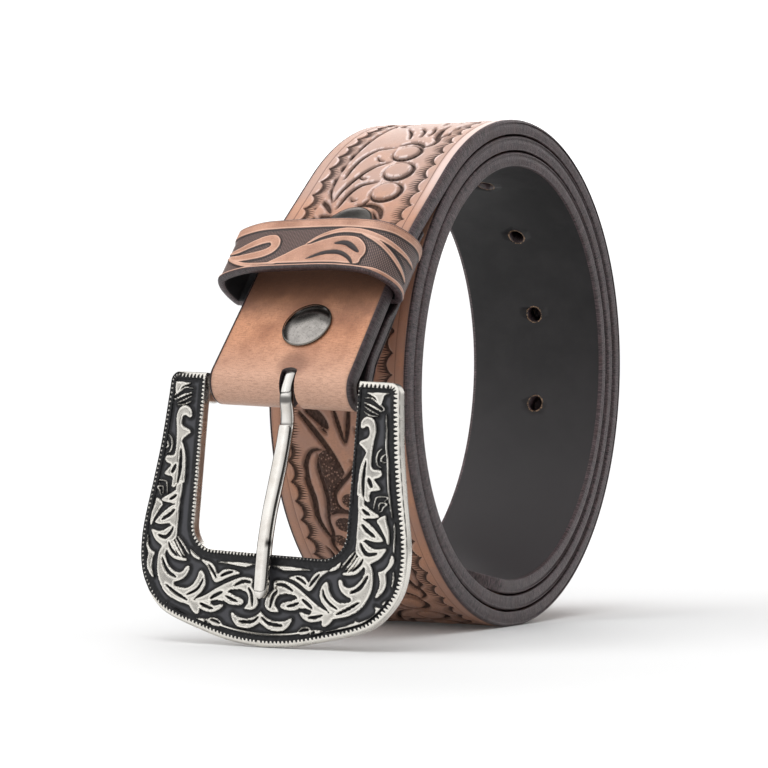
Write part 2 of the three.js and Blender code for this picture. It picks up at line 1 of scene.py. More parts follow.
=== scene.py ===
# A western belt in tooled tan leather, coiled and standing on its coil, with a leather keeper,
# snap caps and a cast antique silver buckle. Sizes in the tables are millimetres.
import math

import bpy
import numpy as np
from mathutils import Matrix, Vector, kdtree


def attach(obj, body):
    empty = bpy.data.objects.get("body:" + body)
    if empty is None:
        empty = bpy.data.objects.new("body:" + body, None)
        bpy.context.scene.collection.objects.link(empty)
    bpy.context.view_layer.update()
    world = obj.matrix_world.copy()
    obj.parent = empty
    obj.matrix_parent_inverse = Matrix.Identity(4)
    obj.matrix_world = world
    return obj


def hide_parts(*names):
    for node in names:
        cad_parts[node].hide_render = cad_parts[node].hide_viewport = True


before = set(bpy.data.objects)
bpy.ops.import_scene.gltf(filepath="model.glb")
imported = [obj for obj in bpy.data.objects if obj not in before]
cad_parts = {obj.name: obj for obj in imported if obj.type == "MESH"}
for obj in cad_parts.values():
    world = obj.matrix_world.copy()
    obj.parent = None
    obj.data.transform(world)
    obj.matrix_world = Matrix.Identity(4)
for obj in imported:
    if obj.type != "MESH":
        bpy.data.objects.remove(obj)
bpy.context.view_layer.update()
MM = 0.001

# The camera stands low in front of the buckle, a little to the near side, and looks level. Its
# place, bearing and lens are those that the belt's outline in the photo fits.
CAMERA_PLACE = (-672.91, -371.74, 60.88)
CAMERA_LENS, CAMERA_SENSOR = 144.31, 36.0
BEARING, LIFT, ROLL = math.radians(-59.88), math.radians(0.10), math.radians(0.11)

camera_data = bpy.data.cameras.new("camera")
camera_data.lens = CAMERA_LENS
camera_data.sensor_width = CAMERA_SENSOR
camera_data.clip_end = 20.0
camera = bpy.data.objects.new("camera", camera_data)
bpy.context.scene.collection.objects.link(camera)
back = Vector((math.sin(BEARING) * math.cos(LIFT), -math.cos(BEARING) * math.cos(LIFT), math.sin(LIFT)))
right = Vector((math.cos(BEARING), math.sin(BEARING), 0.0))
level_up = back.cross(right)
rolled_right = right * math.cos(ROLL) + level_up * math.sin(ROLL)
rolled_up = level_up * math.cos(ROLL) - right * math.sin(ROLL)
turned = Matrix((rolled_right, rolled_up, back)).transposed().to_4x4()
camera.matrix_world = Matrix.Translation(Vector(CAMERA_PLACE) * MM) @ turned
bpy.context.scene.camera = camera


# The floor is a sheet of white paper that glows a little beyond the belt's soft shadow. A broad
# soft box hangs overhead and one stands on the left, in a bright room with some dark parts,
# which the metal and the waxed leather reflect.
class Layer:
    """What a node of a finish gives on: a value, a colour or a place. It is worked with like a
    number, and each step makes the next node."""

    def __init__(self, finish, socket):
        self.finish, self.socket = finish, socket

    def math(self, operation, other=0.0):
        return self.finish.layer(0, "ShaderNodeMath", {0: self, 1: other}, operation=operation)

    def __mul__(self, other):
        return self.math("MULTIPLY", other)

    def __add__(self, other):
        return self.math("ADD", other)

    def __sub__(self, other):
        return self.math("SUBTRACT", other)

    def most(self, other):
        return self.math("MAXIMUM", other)

    def least(self, other):
        return self.math("MINIMUM", other)

    def rise(self, start, end):
        """0 below start, 1 above end, smooth between; it falls where end is the lower."""
        inputs = {"Value": self, "From Min": min(start, end), "From Max": max(start, end),
                  "To Min": float(start > end), "To Max": float(start < end)}
        return self.finish.layer("Result", "ShaderNodeMapRange", inputs, interpolation_type="SMOOTHSTEP")

    def vector(self, operation, other=(0, 0, 0)):
        return self.finish.layer("Value", "ShaderNodeVectorMath", {0: self, 1: other}, operation=operation)

    def axes(self):
        node = self.finish.node("ShaderNodeSeparateXYZ", {"Vector": self})
        return [Layer(self.finish, output) for output in node.outputs]

    def stretch(self, scale):
        return self.finish.layer("Vector", "ShaderNodeMapping", {"Vector": self, "Scale": scale})

    def noise(self, scale, detail=3.0, roughness=0.55):
        inputs = {"Vector": self, "Scale": scale, "Detail": detail, "Roughness": roughness}
        return self.finish.layer("Fac", "ShaderNodeTexNoise", inputs)

    def cells(self, scale):
        return self.finish.layer("Distance", "ShaderNodeTexVoronoi", {"Vector": self, "Scale": scale})

    def mix(self, colour, other):
        """The colour where this is 0, and the other one where it is 1."""
        return self.finish.layer(2, "ShaderNodeMix", {0: self, 6: colour, 7: other}, data_type="RGBA")

    def blend(self, number, other):
        """The number where this is 0, and the other one where it is 1."""
        return self.finish.layer(0, "ShaderNodeMix", {0: self, 2: number, 3: other}, data_type="FLOAT")

    def tint(self, share, amount, other):
        """This colour, with that amount of another one where the share is 1."""
        return (share * amount).mix(self, other)


class Finish:
    """A material made of nodes, on one Principled shader."""

    def __init__(self, name, **values):
        self.material = bpy.data.materials.new(name)
        self.material.use_nodes = True
        self.tree = self.material.node_tree
        self.shader = self.tree.nodes["Principled BSDF"]
        for socket, value in values.items():
            self.shader.inputs[socket.replace("_", " ")].default_value = value

    def node(self, kind, inputs=None, **settings):
        made = self.tree.nodes.new(kind)
        for key, value in settings.items():
            setattr(made, key, value)
        for key, value in (inputs or {}).items():
            self.feed(made.inputs[key], value)
        return made

    def layer(self, output, kind, inputs=None, **settings):
        return Layer(self, self.node(kind, inputs, **settings).outputs[output])

    def feed(self, socket, value):
        if isinstance(value, Layer):
            self.tree.links.new(value.socket, socket)
        else:
            socket.default_value = value

    def set(self, socket, value):
        self.feed(self.shader.inputs[socket], value)

    def field(self, name):
        return self.layer("Fac", "ShaderNodeAttribute", attribute_name=name)

    def place(self, name):
        return self.layer("Vector", "ShaderNodeAttribute", attribute_name=name)

    def coordinates(self, kind):
        return self.layer(kind, "ShaderNodeTexCoord")

    def bump(self, height, depth, strength=1.0):
        """Raises the surface by height times depth, which is in millimetres."""
        normal = self.shader.inputs["Normal"]
        made = self.node("ShaderNodeBump", {"Height": height, "Distance": depth * MM, "Strength": strength})
        if normal.is_linked:
            self.tree.links.new(normal.links[0].from_socket, made.inputs["Normal"])
        self.tree.links.new(made.outputs["Normal"], normal)


def linear(red, green, blue):
    """A colour given as it looks on a screen, 0 to 255 each."""
    shares = [value / 255 for value in (red, green, blue)]
    curve = [s / 12.92 if s <= 0.04045 else ((s + 0.055) / 1.055) ** 2.4 for s in shares]
    return (*curve, 1.0)


def mesh_object(name, points, faces, finishes):
    """A smooth mesh object; points are in millimetres."""
    mesh = bpy.data.meshes.new(name)
    mesh.from_pydata((np.asarray(points, float) * MM).tolist(), [], faces)
    for finish in finishes:
        mesh.materials.append(finish.material)
    mesh.polygons.foreach_set("use_smooth", np.ones(len(mesh.polygons), bool))
    made = bpy.data.objects.new(name, mesh)
    bpy.context.scene.collection.objects.link(made)
    return made


PAPER_AHEAD, PAPER_BEHIND, PAPER_SIDE, PAPER_DROP = 1500, 700, 1500, 0.05
SHADOW_REACH, SHADOW_GLOW, PAPER_GLOW = (0.12, 0.34), 0.03, 0.28

away = Vector((-back.x, -back.y, 0)).normalized()
aside = Vector((-away.y, away.x, 0))
sweep_points = []
for distance in (-PAPER_AHEAD, PAPER_BEHIND):
    for side in (-PAPER_SIDE, PAPER_SIDE):
        place = away * distance + aside * side
        sweep_points.append((place.x, place.y, -PAPER_DROP))
paper = Finish("white_paper", Base_Color=(0.6, 0.6, 0.6, 1), Roughness=0.75)
paper_place = paper.coordinates("Object")
paper.bump(paper_place.noise(900), 0.02, 0.4)
paper.set("Emission Color", (1.0, 1.0, 1.0, 1.0))
from_belt = paper_place.vector("LENGTH")
paper.set("Emission Strength", from_belt.rise(*SHADOW_REACH).blend(SHADOW_GLOW, PAPER_GLOW))
sweep = mesh_object("sweep", sweep_points, [(0, 1, 3, 2)], [paper])

# Parts of the room: the way to each, the cosines that it fades between, and its level of light
ROOM_LEVEL = 0.34
ROOM_PARTS = [
    ((-0.80, 0.50, 0.42), 0.55, 0.80, 1.15),
    ((-0.75, -0.15, 0.72), 0.80, 0.90, 1.2),
    ((-0.46, -0.88, 0.10), 0.80, 0.92, 0.10),
    ((-0.93, -0.33, 0.20), 0.93, 0.97, 1.1),
    ((0.87, -0.49, 0.10), 0.70, 0.90, 1.0),
    ((0.12, 0.99, 0.05), 0.75, 0.90, 0.06),
    ((0.12, 0.50, 0.857), 0.925, 0.982, 0.04),
    ((0.30, 0.50, 0.81), 0.955, 0.98, 0.02),
    ((0.44, 0.50, 0.74), 0.955, 0.98, 0.02),
]
LOW_WALL_LEVEL = 0.10
BACKDROP = ((-back.x, -back.y, 0.0), 0.86, 0.94, 1.04)
REAR_WINDOW = ((0.80, 0.44, 0.38), 0.93, 0.965, 2.2)


class Room(Finish):
    """The same for the world, whose shader is its background."""

    def __init__(self, made):
        made.use_nodes = True
        self.tree = made.node_tree
        self.shader = self.tree.nodes["Background"]


world = bpy.data.worlds.new("studio")
bpy.context.scene.world = world
room = Room(world)
room_way = room.coordinates("Generated")
room_rise = room_way.axes()[2]


def room_with(light, toward, start, end, level):
    """The room's light, with that level of it round one direction."""
    facing = room_way.vector("DOT_PRODUCT", tuple(Vector(toward).normalized()))
    return facing.rise(start, end).blend(light, level)


room_light = ROOM_LEVEL
for room_part in ROOM_PARTS:
    room_light = room_with(room_light, *room_part)
low_wall = room_rise.rise(-0.12, -0.06) * room_rise.rise(0.08, 0.04)
room_light = low_wall.blend(room_light, LOW_WALL_LEVEL)
for room_part in (BACKDROP, REAR_WINDOW):
    room_light = room_with(room_light, *room_part)
room.set("Color", (1.0, 1.0, 1.0, 1.0))
room.set("Strength", room_light)


def soft_box(name, place, aim, size, power):
    light = bpy.data.lights.new(name, "AREA")
    light.shape = "RECTANGLE"
    light.size, light.size_y = size[0] * MM, size[1] * MM
    light.energy = power
    made = bpy.data.objects.new(name, light)
    made.location = Vector(place) * MM
    made.rotation_euler = (Vector(aim) * MM - made.location).to_track_quat("-Z", "Y").to_euler()
    made.visible_glossy = False
    bpy.context.scene.collection.objects.link(made)


soft_box("box_overhead", (-60, 40, 1100), (0, 0, 60), (1100, 1100), 14)
soft_box("box_left", (-700, 500, 450), (-20, 0, 60), (500, 800), 2.5)
bpy.context.scene.view_settings.view_transform = "Standard"


# The strap is one long band of thick tan leather with a dark flesh side and burnished edges. Its
# face is tooled with berries, leaves and a scalloped border and rubbed with dark antiquing. It
# winds in on itself from the end that folds round the buckle's bar to the point with the holes.
STRAP_HALF = 19.0
LEATHER = 3.65
COIL_X, COIL_RADIUS, TURN_PITCH = 1.5, 61.19, 3.944
COIL_OVAL, COIL_OVAL_ANGLE = 2.55, 12.65
LEAVE_ANGLE, REST_ANGLE, SHOULDER_ANGLE, TIP_ANGLE = -37.6, 184.4, 910.4, 940.4
BAR_X, BAR_Z = -75.0, 59.3
FOLD_RADIUS = 5.2
END_SLOPE = math.radians(50.5)
BEND_RADIUS = 60.0
LEAN = math.tan(math.radians(2.4))
LEAN_ENDS = 24.4
RETURN_SHOULDER, RETURN_LENGTH = 45.8, 50.6
# Up the folded end: distance, front ply, returning ply, both with what lies between
FOLD_ROWS = np.array([
    (0, 3.3, 3.3, 10.4), (8.5, 3.4, 3.3, 7.7), (20, 3.4, 3.0, 7.7), (24.4, 3.4, 1.4, 7.4),
    (39.4, 3.4, 1.0, 7.0), (41.4, 3.4, 1.0, 4.8), (50.6, 3.45, 1.0, 4.75),
])


def coil_radius(angle):
    oval = COIL_OVAL * np.cos(2 * np.radians(angle - COIL_OVAL_ANGLE))
    return COIL_RADIUS - TURN_PITCH * angle / 360 + oval


COIL_Z = -coil_radius(REST_ANGLE) * math.cos(math.radians(REST_ANGLE))


def coil_face(angle):
    """Points in the XZ plane on the strap's outer face, and the way out from it."""
    turn = np.radians(angle)
    radius = coil_radius(angle)
    growth = -2 * COIL_OVAL * np.sin(2 * np.radians(angle - COIL_OVAL_ANGLE)) - TURN_PITCH / (2 * np.pi)
    tangent = np.stack([
        growth * np.sin(turn) + radius * np.cos(turn),
        growth * np.cos(turn) - radius * np.sin(turn),
    ], -1)
    tangent /= np.linalg.norm(tangent, axis=-1, keepdims=True)
    height = np.maximum(COIL_Z + radius * np.cos(turn), 0)
    point = np.stack([COIL_X + radius * np.sin(turn), height], -1)
    return point, np.stack([-tangent[..., 1], tangent[..., 0]], -1)


def along(slope):
    return np.stack([np.cos(slope), np.sin(slope)], -1)


def outward(slope):
    return np.stack([-np.sin(slope), np.cos(slope)], -1)


def cross(a, b):
    return a[0] * b[1] - a[1] * b[0]


bar_centre = np.array([BAR_X, BAR_Z])
end_start = bar_centre + FOLD_RADIUS * outward(END_SLOPE)
leave_point, leave_out = coil_face(np.array(LEAVE_ANGLE))
COIL_SLOPE = math.atan2(-leave_out[0], leave_out[1])
corner_up = cross(leave_point - end_start, along(COIL_SLOPE)) / cross(along(END_SLOPE), along(COIL_SLOPE))
BEND_START = corner_up - BEND_RADIUS * math.tan((END_SLOPE - COIL_SLOPE) / 2)
BEND_END = BEND_START + BEND_RADIUS * (END_SLOPE - COIL_SLOPE)


def end_face(up):
    """The same for the folded end, by the distance up its face from the fold."""
    up = np.asarray(up, float)
    slope = np.clip(END_SLOPE - (up - BEND_START) / BEND_RADIUS, COIL_SLOPE, END_SLOPE)
    point = end_start + np.minimum(up, BEND_START)[..., None] * along(END_SLOPE)
    point = point + BEND_RADIUS * (outward(slope) - outward(END_SLOPE))
    return point + np.maximum(up - BEND_END, 0)[..., None] * along(COIL_SLOPE), outward(slope)


LEAVE_UP = BEND_END + float(np.dot(leave_point - end_face(BEND_END)[0], along(COIL_SLOPE)))
coil_angles = np.arange(LEAVE_ANGLE, TIP_ANGLE + 0.1, 0.1)
coil_steps = np.linalg.norm(np.diff(coil_face(coil_angles)[0], axis=0), axis=1)
coil_lengths = LEAVE_UP + np.concatenate([[0], np.cumsum(coil_steps)])
FOLD_LENGTH = math.pi * FOLD_RADIUS


def fold_value(up, column):
    return np.interp(up, FOLD_ROWS[:, 0], FOLD_ROWS[:, column])


def strap_face(run):
    """Along the whole strap: face, way out, thickness, half width and lean. The run is 0 at the
    front of the fold, grows up the end and round the coil, and is negative behind the bar."""
    run = np.asarray(run, float)
    angle = np.interp(run, coil_lengths, coil_angles)
    coil_point, coil_out = coil_face(angle)
    up = np.clip(run, 0, LEAVE_UP)
    front_point, front_out = end_face(up)
    fold_out = outward(END_SLOPE - run / FOLD_RADIUS)
    back_up = np.maximum(-run - FOLD_LENGTH, 0)
    back_point, back_out = end_face(back_up)
    back_point = back_point - back_out * fold_value(back_up, 3)[..., None]
    cases = [(run > LEAVE_UP)[..., None], (run >= 0)[..., None], (run > -FOLD_LENGTH)[..., None]]
    point = np.select(cases, [coil_point, front_point, bar_centre + FOLD_RADIUS * fold_out], back_point)
    out = np.select(cases, [coil_out, front_out, fold_out], -back_out)
    thick = np.where(run > 0, fold_value(run, 1), fold_value(back_up, 2))
    thick = np.where(run > FOLD_ROWS[-1, 0], np.interp(run, (50.6, LEAVE_UP), (3.45, LEATHER)), thick)
    tip = np.clip((angle - SHOULDER_ANGLE) / (TIP_ANGLE - SHOULDER_ANGLE), 0, 1)
    half = np.maximum(STRAP_HALF * (1 - tip ** 1.3), 1.2)
    rounding = np.clip((back_up - RETURN_SHOULDER) / (RETURN_LENGTH - RETURN_SHOULDER), 0, 1)
    half = np.minimum(half, np.maximum(STRAP_HALF * np.sqrt(1 - rounding ** 2), 1.2))
    lean = LEAN * np.clip(1 - np.where(run > 0, run, back_up) / LEAN_ENDS, 0, 1)
    return point, out, thick, half, lean


def smooth_line(places, gap=0.25):
    """Points close together on a smooth curve through the places."""
    knots = np.array(places, float)
    ends = np.vstack([2 * knots[0] - knots[1], knots, 2 * knots[-1] - knots[-2]])
    line = []
    for k in range(1, len(ends) - 2):
        a, b, c, d = ends[k - 1:k + 3]
        count = max(int(np.linalg.norm(c - b) / gap), 2)
        t = np.linspace(0, 1, count, endpoint=False)[:, None]
        line.append(0.5 * (2 * b + (c - a) * t + (2 * a - 5 * b + 4 * c - d) * t ** 2
                           + (3 * b - a - 3 * c + d) * t ** 3))
    return np.vstack([*line, knots[-1:]])


def stroke_field(x, y, strokes, taper=0.5, reach=3.0):
    """How far each place lies outside the nearest stroke, and below 0 inside one. A stroke is
    its width and the places that it runs through; it thins to a point at both ends."""
    field = np.full(x.shape, reach)
    for width, *places in strokes:
        line = smooth_line(places, min(width / 3, 0.25))
        share = np.linspace(0, 1, len(line))
        half = width / 2 * np.maximum(np.sin(np.pi * share), 0.02) ** taper
        low, high = line.min(0) - reach, line.max(0) + reach
        near = np.nonzero((x > low[0]) & (x < high[0]) & (y > low[1]) & (y < high[1]))[0]
        for chunk in np.array_split(near, max(len(near) // 20000, 1)):
            dx = x[chunk, None] - line[:, 0]
            dy = y[chunk, None] - line[:, 1]
            found = (np.sqrt(dx * dx + dy * dy) - half).min(1)
            field[chunk] = np.minimum(field[chunk], found)
    return field


def inside_field(x, y, corners):
    """Distance to a closed outline, below 0 inside it."""
    a = np.array(corners, float)
    b = np.roll(a, -1, axis=0)
    side = b - a
    gap_x = x[:, None] - a[:, 0]
    gap_y = y[:, None] - a[:, 1]
    share = np.clip((gap_x * side[:, 0] + gap_y * side[:, 1]) / (side ** 2).sum(1), 0, 1)
    distance = np.hypot(gap_x - share * side[:, 0], gap_y - share * side[:, 1]).min(1)
    rises = (a[:, 1] <= y[:, None]) != (b[:, 1] <= y[:, None])
    height = np.where(np.abs(side[:, 1]) < 1e-9, 1e-9, side[:, 1])
    crossed = rises & (x[:, None] < a[:, 0] + gap_y / height * side[:, 0])
    return np.where(crossed.sum(1) % 2 == 1, -distance, distance)


def oval_field(x, y, centre, radii):
    """About the distance to an oval, below 0 inside it."""
    reach = np.hypot((x - centre[0]) / radii[0], (y - centre[1]) / radii[1])
    return (reach - 1) * min(radii)


def smooth_step(value, start, end):
    share = np.clip((value - start) / (end - start), 0, 1)
    return share * share * (3 - 2 * share)


# The tooling repeats along the strap: a part with berries, then a part with a long leaf. Places
# are across the strap, positive to the far side, and up from the start of the part.
PART_LENGTH = 41.45
PATTERN_START = 50.0
SCALLOP_LENGTH = PART_LENGTH / 8
# Berries, each by its centre and radii; cuts, each by its width and the places it runs through
BERRIES = [((-3.7, 23.9), (3.4, 3.0)), ((-5.0, 15.9), (3.65, 3.0)), ((-5.0, 7.9), (3.75, 3.1))]
BERRY_CUTS = [
    (1.0, (0.3, 26.4), (4.5, 25.8), (6.8, 23), (8.1, 19), (8.6, 13)),
    (1.0, (-1.6, 19.6), (2.4, 17.4), (5.4, 13), (7.2, 8.5), (7.7, 4.5)),
    (1.0, (-1.6, 11.6), (2.6, 10.4), (4.8, 7), (5.7, 1.5)),
    (0.9, (8.0, 4), (10.4, 9), (11.0, 18), (10.3, 29), (9.6, 41.4)),
    (1.2, (12.0, 5.2), (9.3, 3.2), (6.6, 0)),
    (0.9, (12.0, 5.2), (12.0, 2), (12.2, -1)),
    (0.8, (-2.0, 4.8), (-1.0, 3), (-0.2, 1.8)),
    (1.4, (0.6, 2.6), (-3.5, 2.5), (-6.6, 0.6), (-8.4, -3)),
    (1.3, (-0.4, 27.4), (-3.2, 28.9), (-6, 27.8), (-7.6, 26)),
    (1.4, (-7.4, 26), (-9.2, 27.6), (-9.5, 30), (-8.5, 31.6), (-7.7, 34), (-6.8, 38), (-6.9, 41.4)),
    (1.6, (-9.0, 31.2), (-10.7, 33.5), (-11.1, 37), (-10.2, 41.4)),
    (0.7, (4.0, 40.6), (1.0, 36), (-0.8, 31.5)),
    (0.7, (0.4, 41), (-2.2, 37), (-3.4, 32.5)),
    (0.7, (-3.2, 41), (-5.0, 36.5), (-5.4, 33)),
    (0.5, (3.4, 22), (2.2, 20.5), (0.6, 19.8)),
    (0.5, (5.2, 14), (3.4, 12.8), (2.2, 13.0)),
    (0.5, (3.6, 5.6), (2.6, 4.4), (1.4, 4.6)),
]
LEAF_CUTS = [
    (1.5, (12.0, 41), (8.5, 37.2), (5, 33), (2.2, 29), (-0.2, 24.6)),
    (1.6, (4.6, 30.6), (8, 30.2), (10, 27), (10.3, 23), (9.6, 18), (9.9, 13), (8.9, 9), (7.2, 5.2)),
    (1.0, (6.4, 29.6), (6.8, 26), (6.2, 22), (5.9, 18), (6.7, 14), (7.6, 8.5)),
    (1.2, (-3.6, 27.4), (-1.2, 24.2), (1.4, 21.9), (3.6, 19.4), (3.6, 16.6), (2, 14.9), (-1.4, 14.2)),
    (1.1, (6.6, 13.6), (3.4, 14.6), (0, 14), (-3, 12)),
    (1.0, (7.4, 13.8), (7.0, 9), (8.2, 5.6), (7.4, 2.2), (4.4, 0.8)),
    (2.6, (9.0, 40.4), (6.0, 38.9), (2.9, 35.8)),
    (0.6, (5.2, 35.9), (4.3, 35.4), (3.2, 34.4)),
    (1.1, (1.5, 41.4), (0, 36.4), (-1.3, 32)),
    (1.3, (-3.0, 41.4), (-2.6, 37), (-1.7, 32)),
    (1.0, (-2.4, 28), (-6, 24.6), (-8.6, 18.6), (-9.3, 11), (-7.6, 4)),
    (0.9, (-4.6, 20.8), (-6.2, 15), (-5.8, 9), (-3.4, 4.5)),
    (1.2, (-5, 41.4), (-8.6, 35.6), (-9.9, 29), (-9.2, 23)),
    (0.8, (-4.2, 36), (-5.8, 32), (-5.4, 28.4)),
    (0.7, (-0.6, 9.2), (-3.2, 6.5), (-4.2, 2)),
    (0.7, (10.4, 4.4), (9.6, 1.6), (10.2, -1)),
]
# The stippled ground of the leaf: three oval pockets, and the outline beside it
LEAF_POCKETS = [((-0.5, 17.7), (2.3, 1.9)), ((2.7, 11.1), (2.7, 2.0)), ((5.6, 6.4), (1.8, 1.7))]
PEBBLED = [(6.2, 29.4), (4.2, 30.8), (2.0, 28.2), (-0.2, 24.9), (1.4, 22.0), (3.8, 19.8), (4.0, 16.4),
           (3.4, 14.8), (6.2, 14.4), (5.7, 18), (6.1, 22), (6.6, 26)]
# The scalloped border and the ruled line by each edge, where the tooling starts up the end, and
# how deep each tool went
BORDER_REACH, LOBE_DEPTH = 15.3, 1.9
RULE_AT, RULE_HALF = 15.75, 0.12
TOOLED_FROM, TOOLED_FULL = 34, 38
CUT_DEPTH, BEVEL_DEPTH, BEVEL_REACH = 0.6, 0.36, 0.42
GROUND_DEPTH, BERRY_RISE, FIELD_DROP, BAND_DEPTH, RULE_DEPTH = 0.3, 0.28, 0.1, 0.45, 0.15


def tooling(run, across):
    """What the tools did at each place: the height left, and the fields that the dye follows."""
    part = np.floor((run - PATTERN_START) / PART_LENGTH)
    local = run - PATTERN_START - part * PART_LENGTH
    with_berries = part % 2 == 0
    cut = np.full(run.shape, 3.0)
    ground = np.full(run.shape, 3.0)
    dome = np.zeros(run.shape)
    for strokes, chosen in ((BERRY_CUTS, with_berries), (LEAF_CUTS, ~with_berries)):
        for shift in (0, PART_LENGTH, -PART_LENGTH):
            here = chosen if shift == 0 else ~chosen
            near = here & (local + shift > -3) & (local + shift < PART_LENGTH + 3)
            if near.any():
                found = stroke_field(across[near], local[near] + shift, strokes)
                cut[near] = np.minimum(cut[near], found)
    x, y = across[with_berries], local[with_berries]
    berry = np.full(x.shape, 3.0)
    for centre, radii in BERRIES:
        field = oval_field(x, y, centre, radii)
        low = (centre[0] - 0.6, centre[1] - 0.6)
        shadow = oval_field(x, y, low, (radii[0] + 0.55, radii[1] + 0.65))
        berry = np.minimum(berry, np.maximum(-field, shadow))
        dome[with_berries] = np.maximum(dome[with_berries], np.clip(-field / 2.2, 0, 1))
        cut[with_berries] = np.where(field < 0, np.maximum(cut[with_berries], -field), cut[with_berries])
    cut[with_berries] = np.minimum(cut[with_berries], berry)
    x, y = across[~with_berries], local[~with_berries]
    ground[~with_berries] = inside_field(x, y, PEBBLED)
    for centre, radii in LEAF_POCKETS:
        pocket = oval_field(x, y, centre, radii)
        ground[~with_berries] = np.minimum(ground[~with_berries], pocket)
    lobe = np.abs(np.sin(np.pi * run / SCALLOP_LENGTH))
    border = BORDER_REACH - LOBE_DEPTH * lobe ** 0.6 - np.abs(across)
    line = np.abs(np.abs(across) - RULE_AT) - RULE_HALF
    tooled = smooth_step(run, TOOLED_FROM, TOOLED_FULL)
    inner = smooth_step(border, 2.4, 3.6)
    height = -CUT_DEPTH * smooth_step(cut, 0.08, -0.22) * inner
    height -= BEVEL_DEPTH * np.exp(-np.maximum(cut, 0) / BEVEL_REACH) * inner
    height -= GROUND_DEPTH * smooth_step(ground, 0.2, -0.2) * inner
    height += BERRY_RISE * np.sqrt(dome) * inner - FIELD_DROP * inner
    height -= BAND_DEPTH * smooth_step(border, -0.15, 0.15) * smooth_step(border, 3.4, 0.6)
    height -= RULE_DEPTH * smooth_step(line, 0.2, -0.1)
    return height * tooled, cut, ground, border, line, tooled


# The section's edges: how far the face and the flesh side are rounded, and in what steps
FACE_ROUND, FLESH_ROUND = 0.9, 0.5
ROUND_TURNS = np.radians([15, 37, 60, 82])
SIDE_STEPS = [0.4, 0.62, 0.84]
FLESH_COLUMNS = 9
TOOLED_FIELDS = ("cut", "ground", "border", "line", "tooled")


def strap_skin(runs, columns, tooled):
    """Rings of points round the strap at each run, with what the finishes need to know."""
    point, out, thick, half, lean = strap_face(runs)
    flat = STRAP_HALF - FACE_ROUND
    face_edge = [(FACE_ROUND * (1 - np.sin(a)), FACE_ROUND * (1 - np.cos(a))) for a in ROUND_TURNS]
    flesh_edge = [(FLESH_ROUND * (1 - np.sin(a)), FLESH_ROUND * (1 - np.cos(a))) for a in ROUND_TURNS]
    # Each place: across the strap, in from its skin, and how far through its thickness
    ring = [(s * flat, 0.0, 0.0) for s in np.linspace(-1, 1, columns)]
    ring += [(STRAP_HALF - side, deep, 0.0) for side, deep in face_edge[::-1]]
    ring += [(STRAP_HALF, 0.0, step) for step in SIDE_STEPS]
    ring += [(STRAP_HALF - side, -deep, 1.0) for side, deep in flesh_edge[::-1]]
    ring += [(v, 0.0, 1.0) for v in np.linspace(flat, -flat, FLESH_COLUMNS)]
    ring += [(side - STRAP_HALF, -deep, 1.0) for side, deep in flesh_edge]
    ring += [(-STRAP_HALF, 0.0, step) for step in SIDE_STEPS[::-1]]
    ring += [(side - STRAP_HALF, deep, 0.0) for side, deep in face_edge]
    ring_v, ring_d, ring_t = np.array(ring).T
    width = half[:, None] / STRAP_HALF * ring_v[None, :]
    depth = ring_d[None, :] + ring_t[None, :] * thick[:, None]
    depth = np.clip(depth, 0, thick[:, None])
    fields = np.zeros((len(runs), len(ring_v), len(TOOLED_FIELDS)))
    fields[..., :4] = 3.0
    if tooled:
        run_grid = np.repeat(runs[:, None], columns, 1).ravel()
        found = tooling(run_grid, width[:, :columns].ravel())
        depth[:, :columns] -= found[0].reshape(-1, columns)
        for k, field in enumerate(found[1:]):
            fields[:, :columns, k] = field.reshape(-1, columns)
    x = point[:, None, 0] - out[:, None, 0] * depth
    z = point[:, None, 1] - out[:, None, 1] * depth + width * lean[:, None]
    points = np.stack([x, width, z], -1)
    place = np.stack([np.repeat(runs[:, None], len(ring_v), 1), width, depth], -1)
    return points, place, fields


def store(made, name, values):
    """Keeps a field of values on a piece's points, for its finish to read."""
    kind = "FLOAT_VECTOR" if values.ndim == 2 else "FLOAT"
    attribute = made.data.attributes.new(name, kind, "POINT")
    attribute.data.foreach_set("vector" if values.ndim == 2 else "value", values.astype(np.float32).ravel())


def ring_numbers(rows, ring):
    """The numbers of points that lie in rows of rings, and those of the points next in the ring."""
    numbers = np.arange(rows * ring).reshape(rows, ring)
    return numbers, np.roll(numbers, -1, axis=1)


def strap_piece(name, runs, columns, tooled, closed_start, closed_end):
    """A stretch of the strap between its first and last run, open where another one goes on."""
    points, place, fields = strap_skin(runs, columns, tooled)
    rows, ring = points.shape[:2]
    index, after = ring_numbers(rows, ring)
    quads = np.stack([index[:-1], after[:-1], after[1:], index[1:]], -1).reshape(-1, 4)
    faces = quads[:, ::-1].tolist()
    if closed_start:
        faces.append(index[0].tolist())
    if closed_end:
        faces.append(index[-1][::-1].tolist())
    made = mesh_object(name, points.reshape(-1, 3), faces, [face_leather, edge_leather, flesh_leather])
    column = np.tile(np.arange(ring), rows - 1)
    kind = np.where(column < columns - 1, 0, 1)
    flesh_start = columns + 2 * len(ROUND_TURNS) + len(SIDE_STEPS)
    kind = np.where((column >= flesh_start) & (column < flesh_start + FLESH_COLUMNS - 1), 2, kind)
    kinds = np.concatenate([kind, np.full(int(closed_start) + int(closed_end), 1)])
    made.data.polygons.foreach_set("material_index", kinds.astype(np.int32))
    store(made, "place", place.reshape(-1, 3))
    for k, field in enumerate(TOOLED_FIELDS):
        store(made, field, fields[..., k].ravel())
    return made


def read_back(made, name, size):
    attribute = made.data.attributes[name]
    values = np.zeros(len(attribute.data) * size, np.float32)
    attribute.data.foreach_get("vector" if size == 3 else "value", values)
    return values.reshape(-1, size) if size == 3 else values


def vertex_places(made):
    places = np.zeros(len(made.data.vertices) * 3, np.float32)
    made.data.vertices.foreach_get("co", places)
    return places.reshape(-1, 3)


